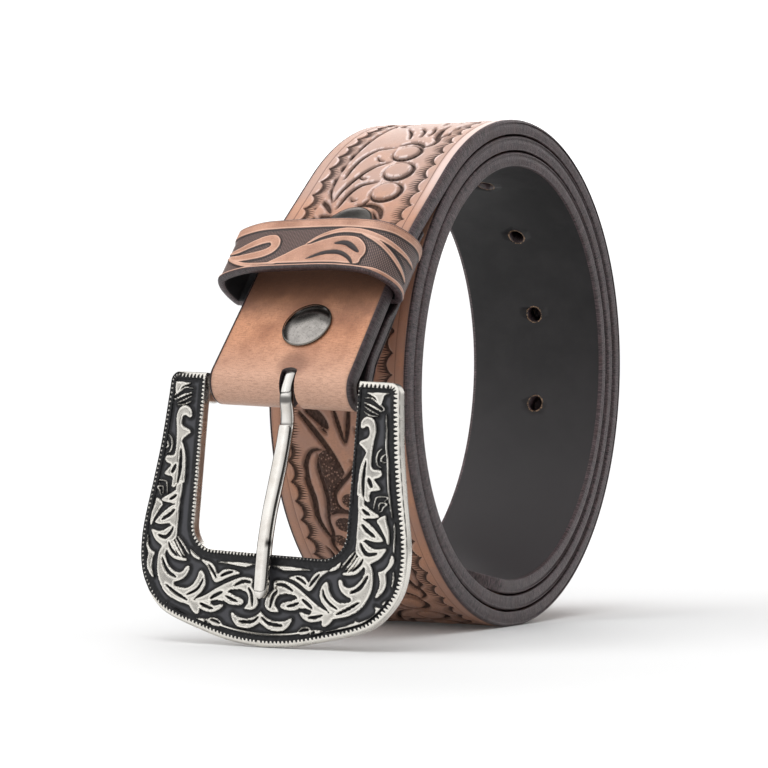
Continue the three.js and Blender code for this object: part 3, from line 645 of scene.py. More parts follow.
def cut_through(made, cutters):
    """Cuts the closed cutters out of a piece, whose fields then carry over to the cut rims."""
    before = vertex_places(made)
    names = [("place", 3)] + [(field, 1) for field in TOOLED_FIELDS]
    kept = {name: read_back(made, name, size) for name, size in names}
    for cutter in cutters:
        carve = made.modifiers.new("carve", "BOOLEAN")
        carve.operation = "DIFFERENCE"
        carve.object = cutter
        carve.solver = "EXACT"
    bpy.context.view_layer.update()
    carved = bpy.data.meshes.new_from_object(made.evaluated_get(bpy.context.evaluated_depsgraph_get()))
    made.modifiers.clear()
    made.data = carved
    for cutter in cutters:
        bpy.data.objects.remove(cutter)
    tree = kdtree.KDTree(len(before))
    for k, place in enumerate(before):
        tree.insert(place, k)
    tree.balance()
    after = vertex_places(made)
    nearest = np.array([tree.find(place)[1] for place in after])
    for name, _ in names:
        if name in made.data.attributes:
            made.data.attributes.remove(made.data.attributes[name])
        store(made, name, kept[name][nearest])


def prism(name, outline, x_axis, y_axis, centre, depth):
    """A closed cutter: an outline in the plane of two axes, carried both ways along the third."""
    x_axis, y_axis, centre = (np.array(v, float) for v in (x_axis, y_axis, centre))
    third = np.cross(x_axis, y_axis)
    flat = np.array([centre + a * x_axis + b * y_axis for a, b in outline])
    points = np.vstack([flat - third * depth, flat + third * depth])
    count = len(outline)
    faces = [tuple(range(count))[::-1], tuple(range(count, 2 * count))]
    faces += [(k, (k + 1) % count, (k + 1) % count + count, k + count) for k in range(count)]
    return mesh_object(name, points, faces, [edge_leather])


# The face's leather: tan, clouded and grained, with a painted shadow under the keeper and painted
# shade round the prong's slot, and painted sheen making it lighter round the fold and over the top of
# the coil, creased where it is plain. Antiquing stays in what the tools pressed.
TAN, TAN_DARK = linear(188, 133, 100), linear(146, 96, 70)
# The lighter tans for the fold and the coil's top are painted sheen, the brown under the keeper is a painted
# shadow, and the light pink is for painted glints
FOLD_SHEEN_TAN, DYED_TAN, TOP_SHEEN_TAN = linear(191, 154, 133), linear(172, 136, 120), linear(184, 168, 162)
KEEPER_SHADOW_BROWN, EDGE_BROWN, ANTIQUE_BROWN = linear(83, 56, 43), linear(70, 46, 40), linear(30, 20, 19)
GLINT_PALE, SHEEN_TINT = linear(236, 218, 214), linear(255, 232, 224)
RAYS_PER_LOBE = 6.5
SLOT_PLACE = (2.2, -2.3, 0)

face_leather = Finish("tan_leather_face", Specular_IOR_Level=0.5, Sheen_Weight=0.04,
                      Sheen_Roughness=0.45, Sheen_Tint=SHEEN_TINT)
spot = face_leather.place("place")
face_run, face_across = spot.axes()[:2]
tooled, cut, border = (face_leather.field(name) for name in ("tooled", "cut", "border"))
soft = spot.noise(0.09, 4)
grain = spot.stretch((1, 1.6, 1)).noise(1.1, 5, 0.65)
creases = spot.stretch((1.0, 0.2, 1)).noise(3.0, 4, 0.75)
fine = spot.noise(3.6, 3, 0.7)

# The plain colour: clouds and grain, painted sheen round the fold, a painted shadow under the keeper,
# creases, painted shade round the prong's slot, the dye on the tooled part, darker by the edges, and
# painted sheen over the top of the coil
tan = soft.rise(0.35, 0.7).mix(TAN, TAN_DARK)
tan = tan.tint(grain.rise(0.45, 0.75), 0.35, linear(120, 74, 52))
up_end = face_run + (soft - 0.5) * 9.0
# Painted sheen and light: lighter round the fold
tan = tan.tint(up_end.rise(12, -6), 0.8, FOLD_SHEEN_TAN)
# Painted shadow: darker up the end under the keeper
keeper_shadow = up_end.rise(12, 26) * up_end.rise(46, 34)
tan = tan.tint(keeper_shadow, 0.95, KEEPER_SHADOW_BROWN)
crease_dark = tooled.blend(0.38, 0.18)
tan = tan.tint(creases.rise(0.46, 0.62), crease_dark, linear(112, 74, 53))
tan = tan.tint(fine.rise(0.5, 0.7), 0.42, linear(98, 62, 46))
# Painted shade round the prong's slot, where the leather dips in
slot_shade = spot.vector("DISTANCE", SLOT_PLACE).rise(5.0, 2.2)
tan = tan.tint(slot_shade, 0.5, linear(98, 64, 50))
dyed = tooled * soft.rise(0.3, 0.7).blend(0.3, 0.75)
tan = dyed.mix(tan, DYED_TAN)
by_edge = face_across.math("ABSOLUTE").rise(17.3, 18.7)
tan = tan.tint(by_edge, 0.7, EDGE_BROWN)
# Painted sheen: lighter and greyer over the top of the coil
over_top = face_run.rise(44, 66) * face_run.rise(165, 125)
tan = tan.tint(over_top, 0.4, TOP_SHEEN_TAN)

# Antiquing in the cuts and the stippled ground, inside the border, and painted shade on the bevels
# beside the cuts
inside = border.rise(2.3, 3.2)
in_cut = cut.rise(0.1, -0.08)
# Painted shade on the bevel beside each cut
bevel_shade = cut.rise(0.75, 0.05) * 0.5
pebbles = spot.cells(1.35).rise(0.1, 0.42).blend(0.35, 1.0)
in_ground = face_leather.field("ground").rise(0.15, -0.1) * pebbles
motif_dark = in_cut.most(bevel_shade).most(in_ground) * inside

# Antiquing in the border: rays that fan out of each scallop, the scallop's own line, the rule
from_lobe = face_run.math("DIVIDE", SCALLOP_LENGTH).math("FRACT") - 0.5
fanned = from_lobe * (border * 0.09 + 1.0)
ray_wave = (fanned * (2 * math.pi * RAYS_PER_LOBE)).math("SINE")
ray_wobble = spot.stretch((1.2, 0.25, 1)).noise(1.3, 2)
rays = (ray_wave + ray_wobble * 1.2).rise(0.35, 1.05)
ray_reach = (border + ray_wobble * 1.4).rise(4.1, 2.2)
ray_zone = ray_reach * border.rise(0.0, 0.4)
scallop = border.rise(-0.12, 0.12) * border.rise(1.7, 0.6)
border_dark = (rays * ray_zone).most(scallop)
rule_dark = face_leather.field("line").rise(0.12, -0.08) * 0.75
dark = motif_dark.most(border_dark).most(rule_dark) * tooled
antiqued = dark * grain.rise(0.3, 0.7).blend(0.95, 0.8)

# Painted glints: lighter places beside the cuts, by the scallops and along the near margin, strongest
# over the top of the coil
glint_by_cut = cut.rise(0.1, 0.2) * cut.rise(1.1, 0.45) * (inside * tooled)
glint_by_lobe = border.rise(-0.9, -0.25) * border.rise(-0.08, -0.2) * tooled
glints = glint_by_cut.most(glint_by_lobe)
patches = spot.stretch((0.5, 1, 1)).noise(0.55, 4, 0.7)
glints = glints * patches.rise(0.47, 0.56) * over_top.blend(0.1, 0.62)
near_margin_glint = face_across.rise(-15.8, -16.6) * over_top
glints = glints.most(near_margin_glint * 0.4)
tan = glints.mix(tan, GLINT_PALE)

face_leather.set("Base Color", antiqued.mix(tan, ANTIQUE_BROWN))
face_leather.set("Roughness", antiqued.blend(grain.blend(0.32, 0.5), 1.0))
face_leather.bump(border_dark * tooled, -0.16, 0.9)
face_leather.bump(spot.cells(2.6), 0.05, 0.5)
face_leather.bump(grain, 0.12, 0.45)
face_leather.bump(creases, 0.06, 0.6)
face_leather.bump(fine, 0.04, 0.7)

# The edges are dyed dark, burnished along the strap and streaked across it
edge_leather = Finish("burnished_edge", Roughness=0.34, Specular_IOR_Level=0.55)
spot = edge_leather.place("place")
streaks = spot.stretch((2.2, 0.2, 0.3)).noise(2.2, 4, 0.75)
clouds = spot.noise(0.25, 3)
edge_run = spot.axes()[0]
edge_dye = streaks.rise(0.38, 0.66).mix(linear(19, 13, 15), linear(102, 85, 88))
edge_dye = edge_dye.tint(clouds.rise(0.45, 0.75), 0.45, linear(66, 46, 42))
# Painted shade: the edges darker along the folded end, from the fold up to the keeper
edge_dye = edge_dye.tint(edge_run.rise(46, 34), 0.5, linear(26, 15, 16))
edge_leather.set("Base Color", edge_dye)
edge_leather.bump(streaks, 0.16, 0.7)

# The flesh side is dyed black, painted lighter towards the point, where the inside of the coil faces
# up into the light, and the five holes through it have raw, frayed rims
HOLE_ANGLES = [716.7, 740.5, 764.2, 790.4, 818.8]
HOLE_RADIUS = 2.0
FLESH_LIT_FROM, FLESH_LIT_FULL = 765, 885
hole_points, hole_outs = coil_face(np.array(HOLE_ANGLES))
hole_middles = hole_points - hole_outs * LEATHER / 2
hole_centres = np.stack([hole_middles[:, 0], np.zeros(len(HOLE_ANGLES)), hole_middles[:, 1]], -1)

flesh_leather = Finish("dark_flesh_side", Roughness=0.55, Specular_IOR_Level=0.35)
spot = flesh_leather.place("place")
clouds = spot.noise(0.12, 4)
nap = spot.noise(2.4, 4, 0.7)
flesh = clouds.rise(0.3, 0.75).mix(linear(25, 24, 25), linear(38, 36, 37))
flesh = flesh.tint(nap.rise(0.4, 0.8), 0.3, linear(24, 23, 24))
flesh_run = spot.axes()[0]
lit_from, lit_full = (float(run) for run in np.interp((FLESH_LIT_FROM, FLESH_LIT_FULL), coil_angles, coil_lengths))
# Painted light: lighter towards the point
flesh = flesh_run.rise(lit_from, lit_full).mix(flesh, linear(58, 55, 56))
flesh_place = flesh_leather.coordinates("Object")
from_hole = 1.0
for centre in hole_centres:
    from_hole = flesh_place.vector("DISTANCE", tuple(centre * MM)).least(from_hole)
rim = from_hole.rise(3.35 * MM, 2.75 * MM)
frayed = flesh_place.noise(2600, 3, 0.7)
ragged = (rim + frayed * 2.4).rise(1.9, 2.5)
flesh_leather.set("Base Color", ragged.mix(flesh, linear(176, 142, 112)))
flesh_leather.bump(nap, 0.06, 0.5)

# The end is one piece from the skived ply behind the fold to the coil's top, with closer rows
# where it bends and where it is tooled, and with the prong's slot cut out of the fold
END_REACH, TURN_REACH = 140.0, 442.0
END_COLUMNS, TURN_COLUMNS, INNER_COLUMNS = 160, 104, 15
RETURN_STEP, FOLD_STEP, BARE_STEP, END_STEP, TURN_STEP, INNER_STEP = 2.0, 0.55, 0.9, 0.29, 0.42, 2.4
RETURN_ROWS = [50.6, 50.5, 50.3, 49.9, 49.2, 48.2, 47, 45.8]
SLOT_HALF, SLOT_TOP, SLOT_MIDDLE, SLOT_CROWN = 2.0, 1.1, 2.3, 1.1
end_runs = np.concatenate([
    -FOLD_LENGTH - np.array(RETURN_ROWS),
    -FOLD_LENGTH - np.arange(44, 0.9, -RETURN_STEP),
    np.arange(-FOLD_LENGTH, 27, FOLD_STEP),
    np.arange(27.2, 42, BARE_STEP),
    np.arange(42, END_REACH, END_STEP),
    [END_REACH],
])
strap_end = strap_piece("strap_end", end_runs, END_COLUMNS, True, True, False)
slot_up = np.array([0.0, *along(END_SLOPE)])[[1, 0, 2]]
slot_out = np.array([0.0, *outward(END_SLOPE)])[[1, 0, 2]]
slot_across = np.array([0.0, -1.0, 0.0])
slot_outline = [(SLOT_MIDDLE - SLOT_HALF, -30), (SLOT_MIDDLE + SLOT_HALF, -30)]
slot_outline += [(SLOT_MIDDLE + SLOT_HALF * math.cos(turn), SLOT_TOP - SLOT_CROWN * (1 - math.sin(turn)))
                 for turn in np.radians(np.arange(0, 181, 15))]
slot_centre = np.array([end_start[0], 0.0, end_start[1]]) - slot_out * FOLD_RADIUS
cut_through(strap_end, [prism("slot_cutter", slot_outline, slot_across, slot_up, slot_centre, 9)])
strap_end.data.set_sharp_from_angle(angle=math.radians(50))

# The rest of the outermost turn, tooled all the way round to where the end lies over it
coil_runs = np.append(np.arange(END_REACH, TURN_REACH, TURN_STEP), TURN_REACH)
strap_turn = strap_piece("strap_turn", coil_runs, TURN_COLUMNS, True, False, False)

# The inner turns, whose faces lie against each other, and the point with the five holes
shoulder_run = float(np.interp(SHOULDER_ANGLE, coil_angles, coil_lengths))
tip_run = float(np.interp(TIP_ANGLE, coil_angles, coil_lengths))
inner_runs = np.concatenate([
    np.arange(TURN_REACH, shoulder_run, INNER_STEP),
    shoulder_run + (tip_run - shoulder_run) * np.linspace(0, 1, 24) ** 0.8,
])
strap_inner = strap_piece("strap_inner", inner_runs, INNER_COLUMNS, False, False, True)
hole_cutters = []
for number, (centre, out) in enumerate(zip(hole_centres, hole_outs)):
    tangent = np.array([out[1], 0.0, -out[0]])
    turns = np.linspace(0, 2 * math.pi, 32, endpoint=False)
    circle = [(HOLE_RADIUS * math.cos(a), HOLE_RADIUS * math.sin(a)) for a in turns]
    hole_cutters.append(prism(f"hole_cutter_{number}", circle, tangent, (0, 1, 0), centre, LEATHER))
cut_through(strap_inner, hole_cutters)

for piece in (strap_end, strap_turn, strap_inner):
    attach(piece, "root")
    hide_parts("strap")


# The keeper is a loop of the same leather round the strap's end, its ends glued behind. Its face
# has plain edges and tan leaves left standing on a dark checkered ground; its inside is dark.
KEEPER_UP, KEEPER_WIDTH, KEEPER_THICK, KEEPER_ROUND = 24.4, 15.0, 2.0, 0.45
# Its outline round the strap: across it, and out from its face
KEEPER_EDGE = [
    (25.6, 3.6), (23.2, 5.6), (17.2, 7.5), (11.3, 8.1), (3, 8.35), (-5.2, 8.4), (-10.4, 8.0),
    (-15.3, 7.0), (-18.6, 5.0), (-21.2, 1.6), (-21.9, -1.5), (-21.0, -4.3), (-19.4, -5.55),
    (-10, -5.65), (0, -5.65), (10, -5.65), (23.0, -5.6), (25.2, -4.0), (26.3, 0.2),
]
# Its carving, round the girth from the far side and up the width: tan strokes, the big leaf, and
# the slots cut into them
KEEPER_STROKES = [
    (2.5, (2.4, 6.9), (6, 7.0), (10, 8.0), (13, 8.9), (15.2, 9.0), (16.5, 7.6), (16.2, 5.8), (13.8, 4.5),
     (10, 4.0), (6, 4.4), (2.8, 5.6)),
    (1.1, (2, 5.6), (6, 3.2), (10.4, 1.5), (16, 1.2), (21, 1.9)),
    (1.5, (25.2, 6.9), (28.4, 9.3), (33, 10.9), (38, 11.0), (42.4, 10.2), (48, 9.2), (54.5, 8.0)),
    (1.2, (38.6, 10.4), (43, 8.8), (47.6, 6.6), (53.8, 3.0)),
]
KEEPER_LEAF = [
    (16, 1.3), (20, 3.7), (24, 6.3), (26.4, 6.9), (29.5, 8.1), (33, 9.1), (36.8, 9.3), (39, 8.6),
    (40.8, 6.8), (41.4, 4.8), (40.9, 2.9), (40.2, 1.3), (34, 1.2), (22, 1.2),
]
KEEPER_SLOTS = [
    (1.5, (32.8, 7.0), (36, 7.1), (39.8, 4.7)),
    (1.3, (26.8, 2.3), (30.8, 4.0), (34.6, 4.3), (37.6, 3.0), (39.6, 0.9)),
    (0.9, (44.6, 8.9), (49, 7.3), (53.6, 4.8)),
    (0.35, (12, 0.95), (25, 0.95), (40.4, 1.0)),
]
CARVED_TO, CARVED_DEPTH, TOP_RULE = 57, 0.38, 14.3


def lengths_of(line):
    return np.concatenate([[0], np.cumsum(np.linalg.norm(np.diff(line, axis=0), axis=1))])


def places_on(line, lengths):
    """The places at those lengths along a line."""
    return np.stack([np.interp(lengths, lengths_of(line), line[:, k]) for k in (0, 1)], -1)


loop = smooth_line(KEEPER_EDGE + KEEPER_EDGE[:3], 0.1)
first = np.argmin(np.hypot(*(loop[:200] - np.array(KEEPER_EDGE[1])).T))
last = len(loop) - 1 - np.argmin(np.hypot(*(loop[::-1][:400] - np.array(KEEPER_EDGE[1])).T))
loop = np.roll(loop[first:last], -first, axis=0)
loop = np.vstack([loop, loop[:1]])
loop_girth = lengths_of(loop)
start_girth = loop_girth[np.argmin(np.hypot(*(loop[:-1] - np.array(KEEPER_EDGE[0])).T))]
girths = np.concatenate([np.arange(0, CARVED_TO, 0.3), np.arange(CARVED_TO, loop_girth[-1] - 0.5, 1.2)])
keeper_line = places_on(loop, (girths + start_girth) % loop_girth[-1])
keeper_way = np.roll(keeper_line, -1, axis=0) - np.roll(keeper_line, 1, axis=0)
keeper_way /= np.linalg.norm(keeper_way, axis=1, keepdims=True)
keeper_out = np.stack([keeper_way[:, 1], -keeper_way[:, 0]], -1)
middle_gap = keeper_line - np.array([2.0, 1.0])
keeper_out *= np.sign((keeper_out * middle_gap).sum(1, keepdims=True))
# Round the keeper's section: up its width, and in from its face
rise_steps = np.linspace(KEEPER_ROUND, KEEPER_WIDTH - KEEPER_ROUND, 56)
round_edge = [(KEEPER_ROUND * (1 - math.sin(a)), KEEPER_ROUND * (1 - math.cos(a)))
              for a in np.radians([20, 45, 70])]
inner_edge = [(0.5, KEEPER_THICK), (0.15, KEEPER_THICK - 0.2), (0.0, KEEPER_THICK / 2)]
profile = [(a, 0.0) for a in rise_steps]
profile += [(KEEPER_WIDTH - short, deep) for short, deep in round_edge + inner_edge[::-1]]
profile += [(KEEPER_WIDTH / 2, KEEPER_THICK)] + inner_edge + round_edge[::-1]
profile = np.array(profile)
rows, ring = len(girths), len(profile)
girth_grid = np.repeat(girths[:, None], ring, 1)
rise_grid = np.repeat(profile[None, :, 0], rows, 0)
depth_grid = np.repeat(profile[None, :, 1], rows, 0)
front = (slice(None), slice(0, len(rise_steps)))
flat_girth, flat_rise = girth_grid[front].ravel(), rise_grid[front].ravel()
big_leaf = smooth_line(KEEPER_LEAF + KEEPER_LEAF[:1], 0.3)[:-1]
tan_left = np.minimum(stroke_field(flat_girth, flat_rise, KEEPER_STROKES, 0.35),
                      inside_field(flat_girth, flat_rise, big_leaf))
top_band = 12.1 + 0.35 * smooth_step(flat_girth, 42, 47) - flat_rise
low_band = flat_rise - (0.85 + 0.6 * smooth_step(flat_girth, 41, 46))
tan_left = np.minimum(tan_left, np.minimum(top_band, low_band))
slots_cut = stroke_field(flat_girth, flat_rise, KEEPER_SLOTS, 0.45)
slots_cut = np.minimum(slots_cut, np.abs(flat_rise - TOP_RULE) - 0.02 + 3 * (flat_rise < 12))
sunk = np.maximum(smooth_step(tan_left, -0.1, 0.3), smooth_step(slots_cut, 0.12, -0.2))
carved = smooth_step(flat_girth, CARVED_TO + 1, CARVED_TO - 1)
depth_grid[front] = (CARVED_DEPTH * sunk * carved).reshape(rows, -1)
keeper_fields = np.full((2, rows, ring), 3.0)
keeper_fields[0][front] = tan_left.reshape(rows, -1)
keeper_fields[1][front] = slots_cut.reshape(rows, -1)
keeper_point, keeper_normal = end_face(KEEPER_UP)
keeper_slope = math.atan2(-keeper_normal[0], keeper_normal[1])
keeper_up = along(keeper_slope)
flat_place = keeper_line[:, None, :] - keeper_out[:, None, :] * depth_grid[..., None]
keeper_x = keeper_point[0] + flat_place[..., 1] * keeper_normal[0] + rise_grid * keeper_up[0]
keeper_z = keeper_point[1] + flat_place[..., 1] * keeper_normal[1] + rise_grid * keeper_up[1]
keeper_points = np.stack([keeper_x, flat_place[..., 0], keeper_z], -1).reshape(-1, 3)
index, after = ring_numbers(rows, ring)
keeper_quads = np.stack([index, after, np.roll(after, -1, axis=0), np.roll(index, -1, axis=0)], -1)

KEEPER_TAN, KEEPER_DARK = linear(180, 136, 114), linear(146, 104, 83)
CHECK_SIZE, CHECK_TURN = 0.62, (0, 0, math.radians(38))

keeper_leather = Finish("tan_leather_keeper", Roughness=0.4, Specular_IOR_Level=0.6, Coat_Weight=0.3,
                        Coat_Roughness=0.3, Sheen_Weight=0.12, Sheen_Roughness=0.45, Sheen_Tint=SHEEN_TINT)
spot = keeper_leather.place("place")
leaf, slot = keeper_leather.field("leaf"), keeper_leather.field("slot")
soft = spot.noise(0.12, 4)
grain = spot.noise(1.4, 5, 0.65)
speckle = spot.noise(3.6, 3, 0.7)
tan = soft.rise(0.35, 0.7).mix(KEEPER_TAN, KEEPER_DARK)
tan = tan.tint(grain.rise(0.5, 0.8), 0.4, linear(96, 62, 48))
tan = tan.tint(speckle.rise(0.5, 0.68), 0.5, linear(112, 72, 54))
tan = tan.tint(speckle.rise(0.46, 0.34), 0.4, linear(206, 164, 140))
check_place = keeper_leather.layer("Vector", "ShaderNodeMapping", {"Vector": spot, "Rotation": CHECK_TURN})
check_waves = [(way * (2 * math.pi / CHECK_SIZE)).math("SINE") for way in check_place.axes()[:2]]
checks = (check_waves[0] * check_waves[1]).rise(-0.1, 0.8)
ground_colour = checks.mix(linear(34, 25, 28), linear(150, 122, 112))
sunk_part = leaf.rise(-0.08, 0.12)
slot_part = slot.rise(0.12, -0.1)
shade_part = leaf.rise(0.6, 0.15) * leaf.rise(-0.1, 0.06)
# Painted highlight along the edges of the standing leaves
leaf_edge_highlight = leaf.rise(-0.5, -0.22) * leaf.rise(-0.02, -0.14)
keeper_colour = sunk_part.mix(tan, ground_colour)
keeper_colour = keeper_colour.tint(shade_part, 0.9, linear(26, 17, 18))
keeper_colour = keeper_colour.tint(leaf_edge_highlight, 0.5, linear(216, 178, 158))
keeper_leather.set("Base Color", slot_part.mix(keeper_colour, linear(34, 24, 25)))
keeper_leather.bump(checks * sunk_part, 0.12, 0.8)
keeper_leather.bump(grain, 0.1, 0.5)

keeper = mesh_object("keeper_loop", keeper_points, keeper_quads.reshape(-1, 4).tolist(),
                     [keeper_leather, edge_leather, flesh_leather])
column = np.tile(np.arange(ring), rows)
face_columns = len(rise_steps)
kind = np.where(column < face_columns - 1, 0, 1)
inside_start = face_columns + len(round_edge + inner_edge) - 1
kind = np.where((column >= inside_start) & (column < inside_start + 3), 2, kind)
keeper.data.polygons.foreach_set("material_index", kind.astype(np.int32))
store(keeper, "place", np.stack([girth_grid, rise_grid, depth_grid], -1).reshape(-1, 3))
store(keeper, "leaf", keeper_fields[0].ravel())
store(keeper, "slot", keeper_fields[1].ravel())
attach(keeper, "root")
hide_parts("keeper")


# Two press snaps close the fold: a domed cap of antiqued metal with a rolled rim, pressed through
# the leather on a hollow post, and a flat stud behind that nothing shows of.
CAP_SEAT, CAP_SIDES, RIM_FROM = 0.05, 72, 5.88
# Each snap: its name, its cap's place up the end and across it, and how worn the cap is
SNAPS = [("lower", 13.4, -1.9, 0.0), ("upper", 44.6, -0.7, 1.0)]
# A cap's outline: out from its centre, and up from the leather
CAP_PROFILE = [
    (5.5, 0.0), (6.0, 0.02), (6.2, 0.14), (6.25, 0.3), (6.19, 0.45), (6.04, 0.53), (5.94, 0.52),
    (5.86, 0.55), (5.7, 0.66), (5.3, 0.89), (4.7, 1.15), (3.9, 1.42), (3.0, 1.62), (2.0, 1.77),
    (1.0, 1.85), (0.4, 1.87),
]

antique_metal = Finish("antiqued_snap_metal", Metallic=1.0, Roughness=0.32)
spot = antique_metal.coordinates("Object")
cloud = spot.noise(260, 5, 0.7)
speck = spot.noise(2200, 3, 0.7)
metal = cloud.rise(0.35, 0.7).mix(linear(178, 173, 168), linear(150, 146, 142))
metal = metal.tint(speck.rise(0.52, 0.75), 0.6, linear(88, 85, 81))
on_rim = antique_metal.field("rim").rise(0.2, 0.6)
antique_metal.set("Base Color", on_rim.mix(metal, linear(120, 116, 110)))
polish = cloud.blend(0.12, 0.2)
antique_metal.set("Roughness", antique_metal.field("worn").blend(polish, 0.34))
antique_metal.bump(speck, 0.02, 0.5)


def turned_cap(name, place, out):
    """A cap turned about the way out from the leather, closed at its crown and behind."""
    out = Vector((out[0], 0.0, out[1])).normalized()
    first = Vector((0.0, 1.0, 0.0))
    second = out.cross(first)
    points = []
    for radius, height in CAP_PROFILE:
        for k in range(CAP_SIDES):
            turn = 2 * math.pi * k / CAP_SIDES
            way = first * math.cos(turn) + second * math.sin(turn)
            points.append(tuple(Vector(place) + way * radius + out * height))
    points.append(tuple(Vector(place) + out * CAP_PROFILE[-1][1]))
    faces = []
    for row in range(len(CAP_PROFILE) - 1):
        for k in range(CAP_SIDES):
            a, b = row * CAP_SIDES + k, row * CAP_SIDES + (k + 1) % CAP_SIDES
            faces.append((a, a + CAP_SIDES, b + CAP_SIDES, b))
    top = (len(CAP_PROFILE) - 1) * CAP_SIDES
    faces += [(top + k, len(points) - 1, top + (k + 1) % CAP_SIDES) for k in range(CAP_SIDES)]
    faces.append(tuple(range(CAP_SIDES)))
    return mesh_object(name, points, faces, [antique_metal])


def refinish(node, finish):
    """Gives a solid that shows as it is the finish of the drawn pieces."""
    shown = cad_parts[node].data
    shown.materials.clear()
    shown.materials.append(finish.material)


for node, up, across, worn in SNAPS:
    point, out = end_face(up)
    seat = (point[0] + out[0] * CAP_SEAT, across, point[1] + out[1] * CAP_SEAT)
    cap = turned_cap(f"snap_dome_{node}", seat, out)
    rims = np.repeat([1.0 if radius > RIM_FROM else 0.0 for radius, _ in CAP_PROFILE], CAP_SIDES)
    store(cap, "rim", np.append(rims, 0.0))
    store(cap, "worn", np.full(len(rims) + 1, worn))
    cap.data.set_sharp_from_angle(angle=math.radians(60))
    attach(cap, "root")
    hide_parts(f"snap_cap_{node}")
    refinish(f"snap_stud_{node}", antique_metal)


# The buckle is a zinc casting plated in silver and blackened: a bowed U with milled rims, a sunk
# black ground and raised scrolled leaves polished bright. Lugs behind the tops of its arms hold
# the bar. Places in its tables are out from the middle, and down from the bar.
FACE_AHEAD, PLATE_THICK, RELIEF, RIM_RELIEF = 4.9, 3.2, 0.7, 0.42
PLATE_BOW, BOW_AT = 1.6, 33.0
ARM_TOP, ARM_CORNER, ARM_HALF = -1.7, 2.5, 30.8
WINDOW_HALF, WINDOW_CORNER, RAIL_TOP = 20.5, 6.0, 38.8
FRAME_EDGE = [
    (31.0, 3.5), (32.1, 14.3), (33.6, 23.7), (35.3, 33.1), (35.7, 38.4), (35.2, 43.4),
    (33.5, 47.6), (29.9, 52.0), (25.5, 54.6), (16.2, 57.3), (8.0, 59.1), (0, 59.7),
]
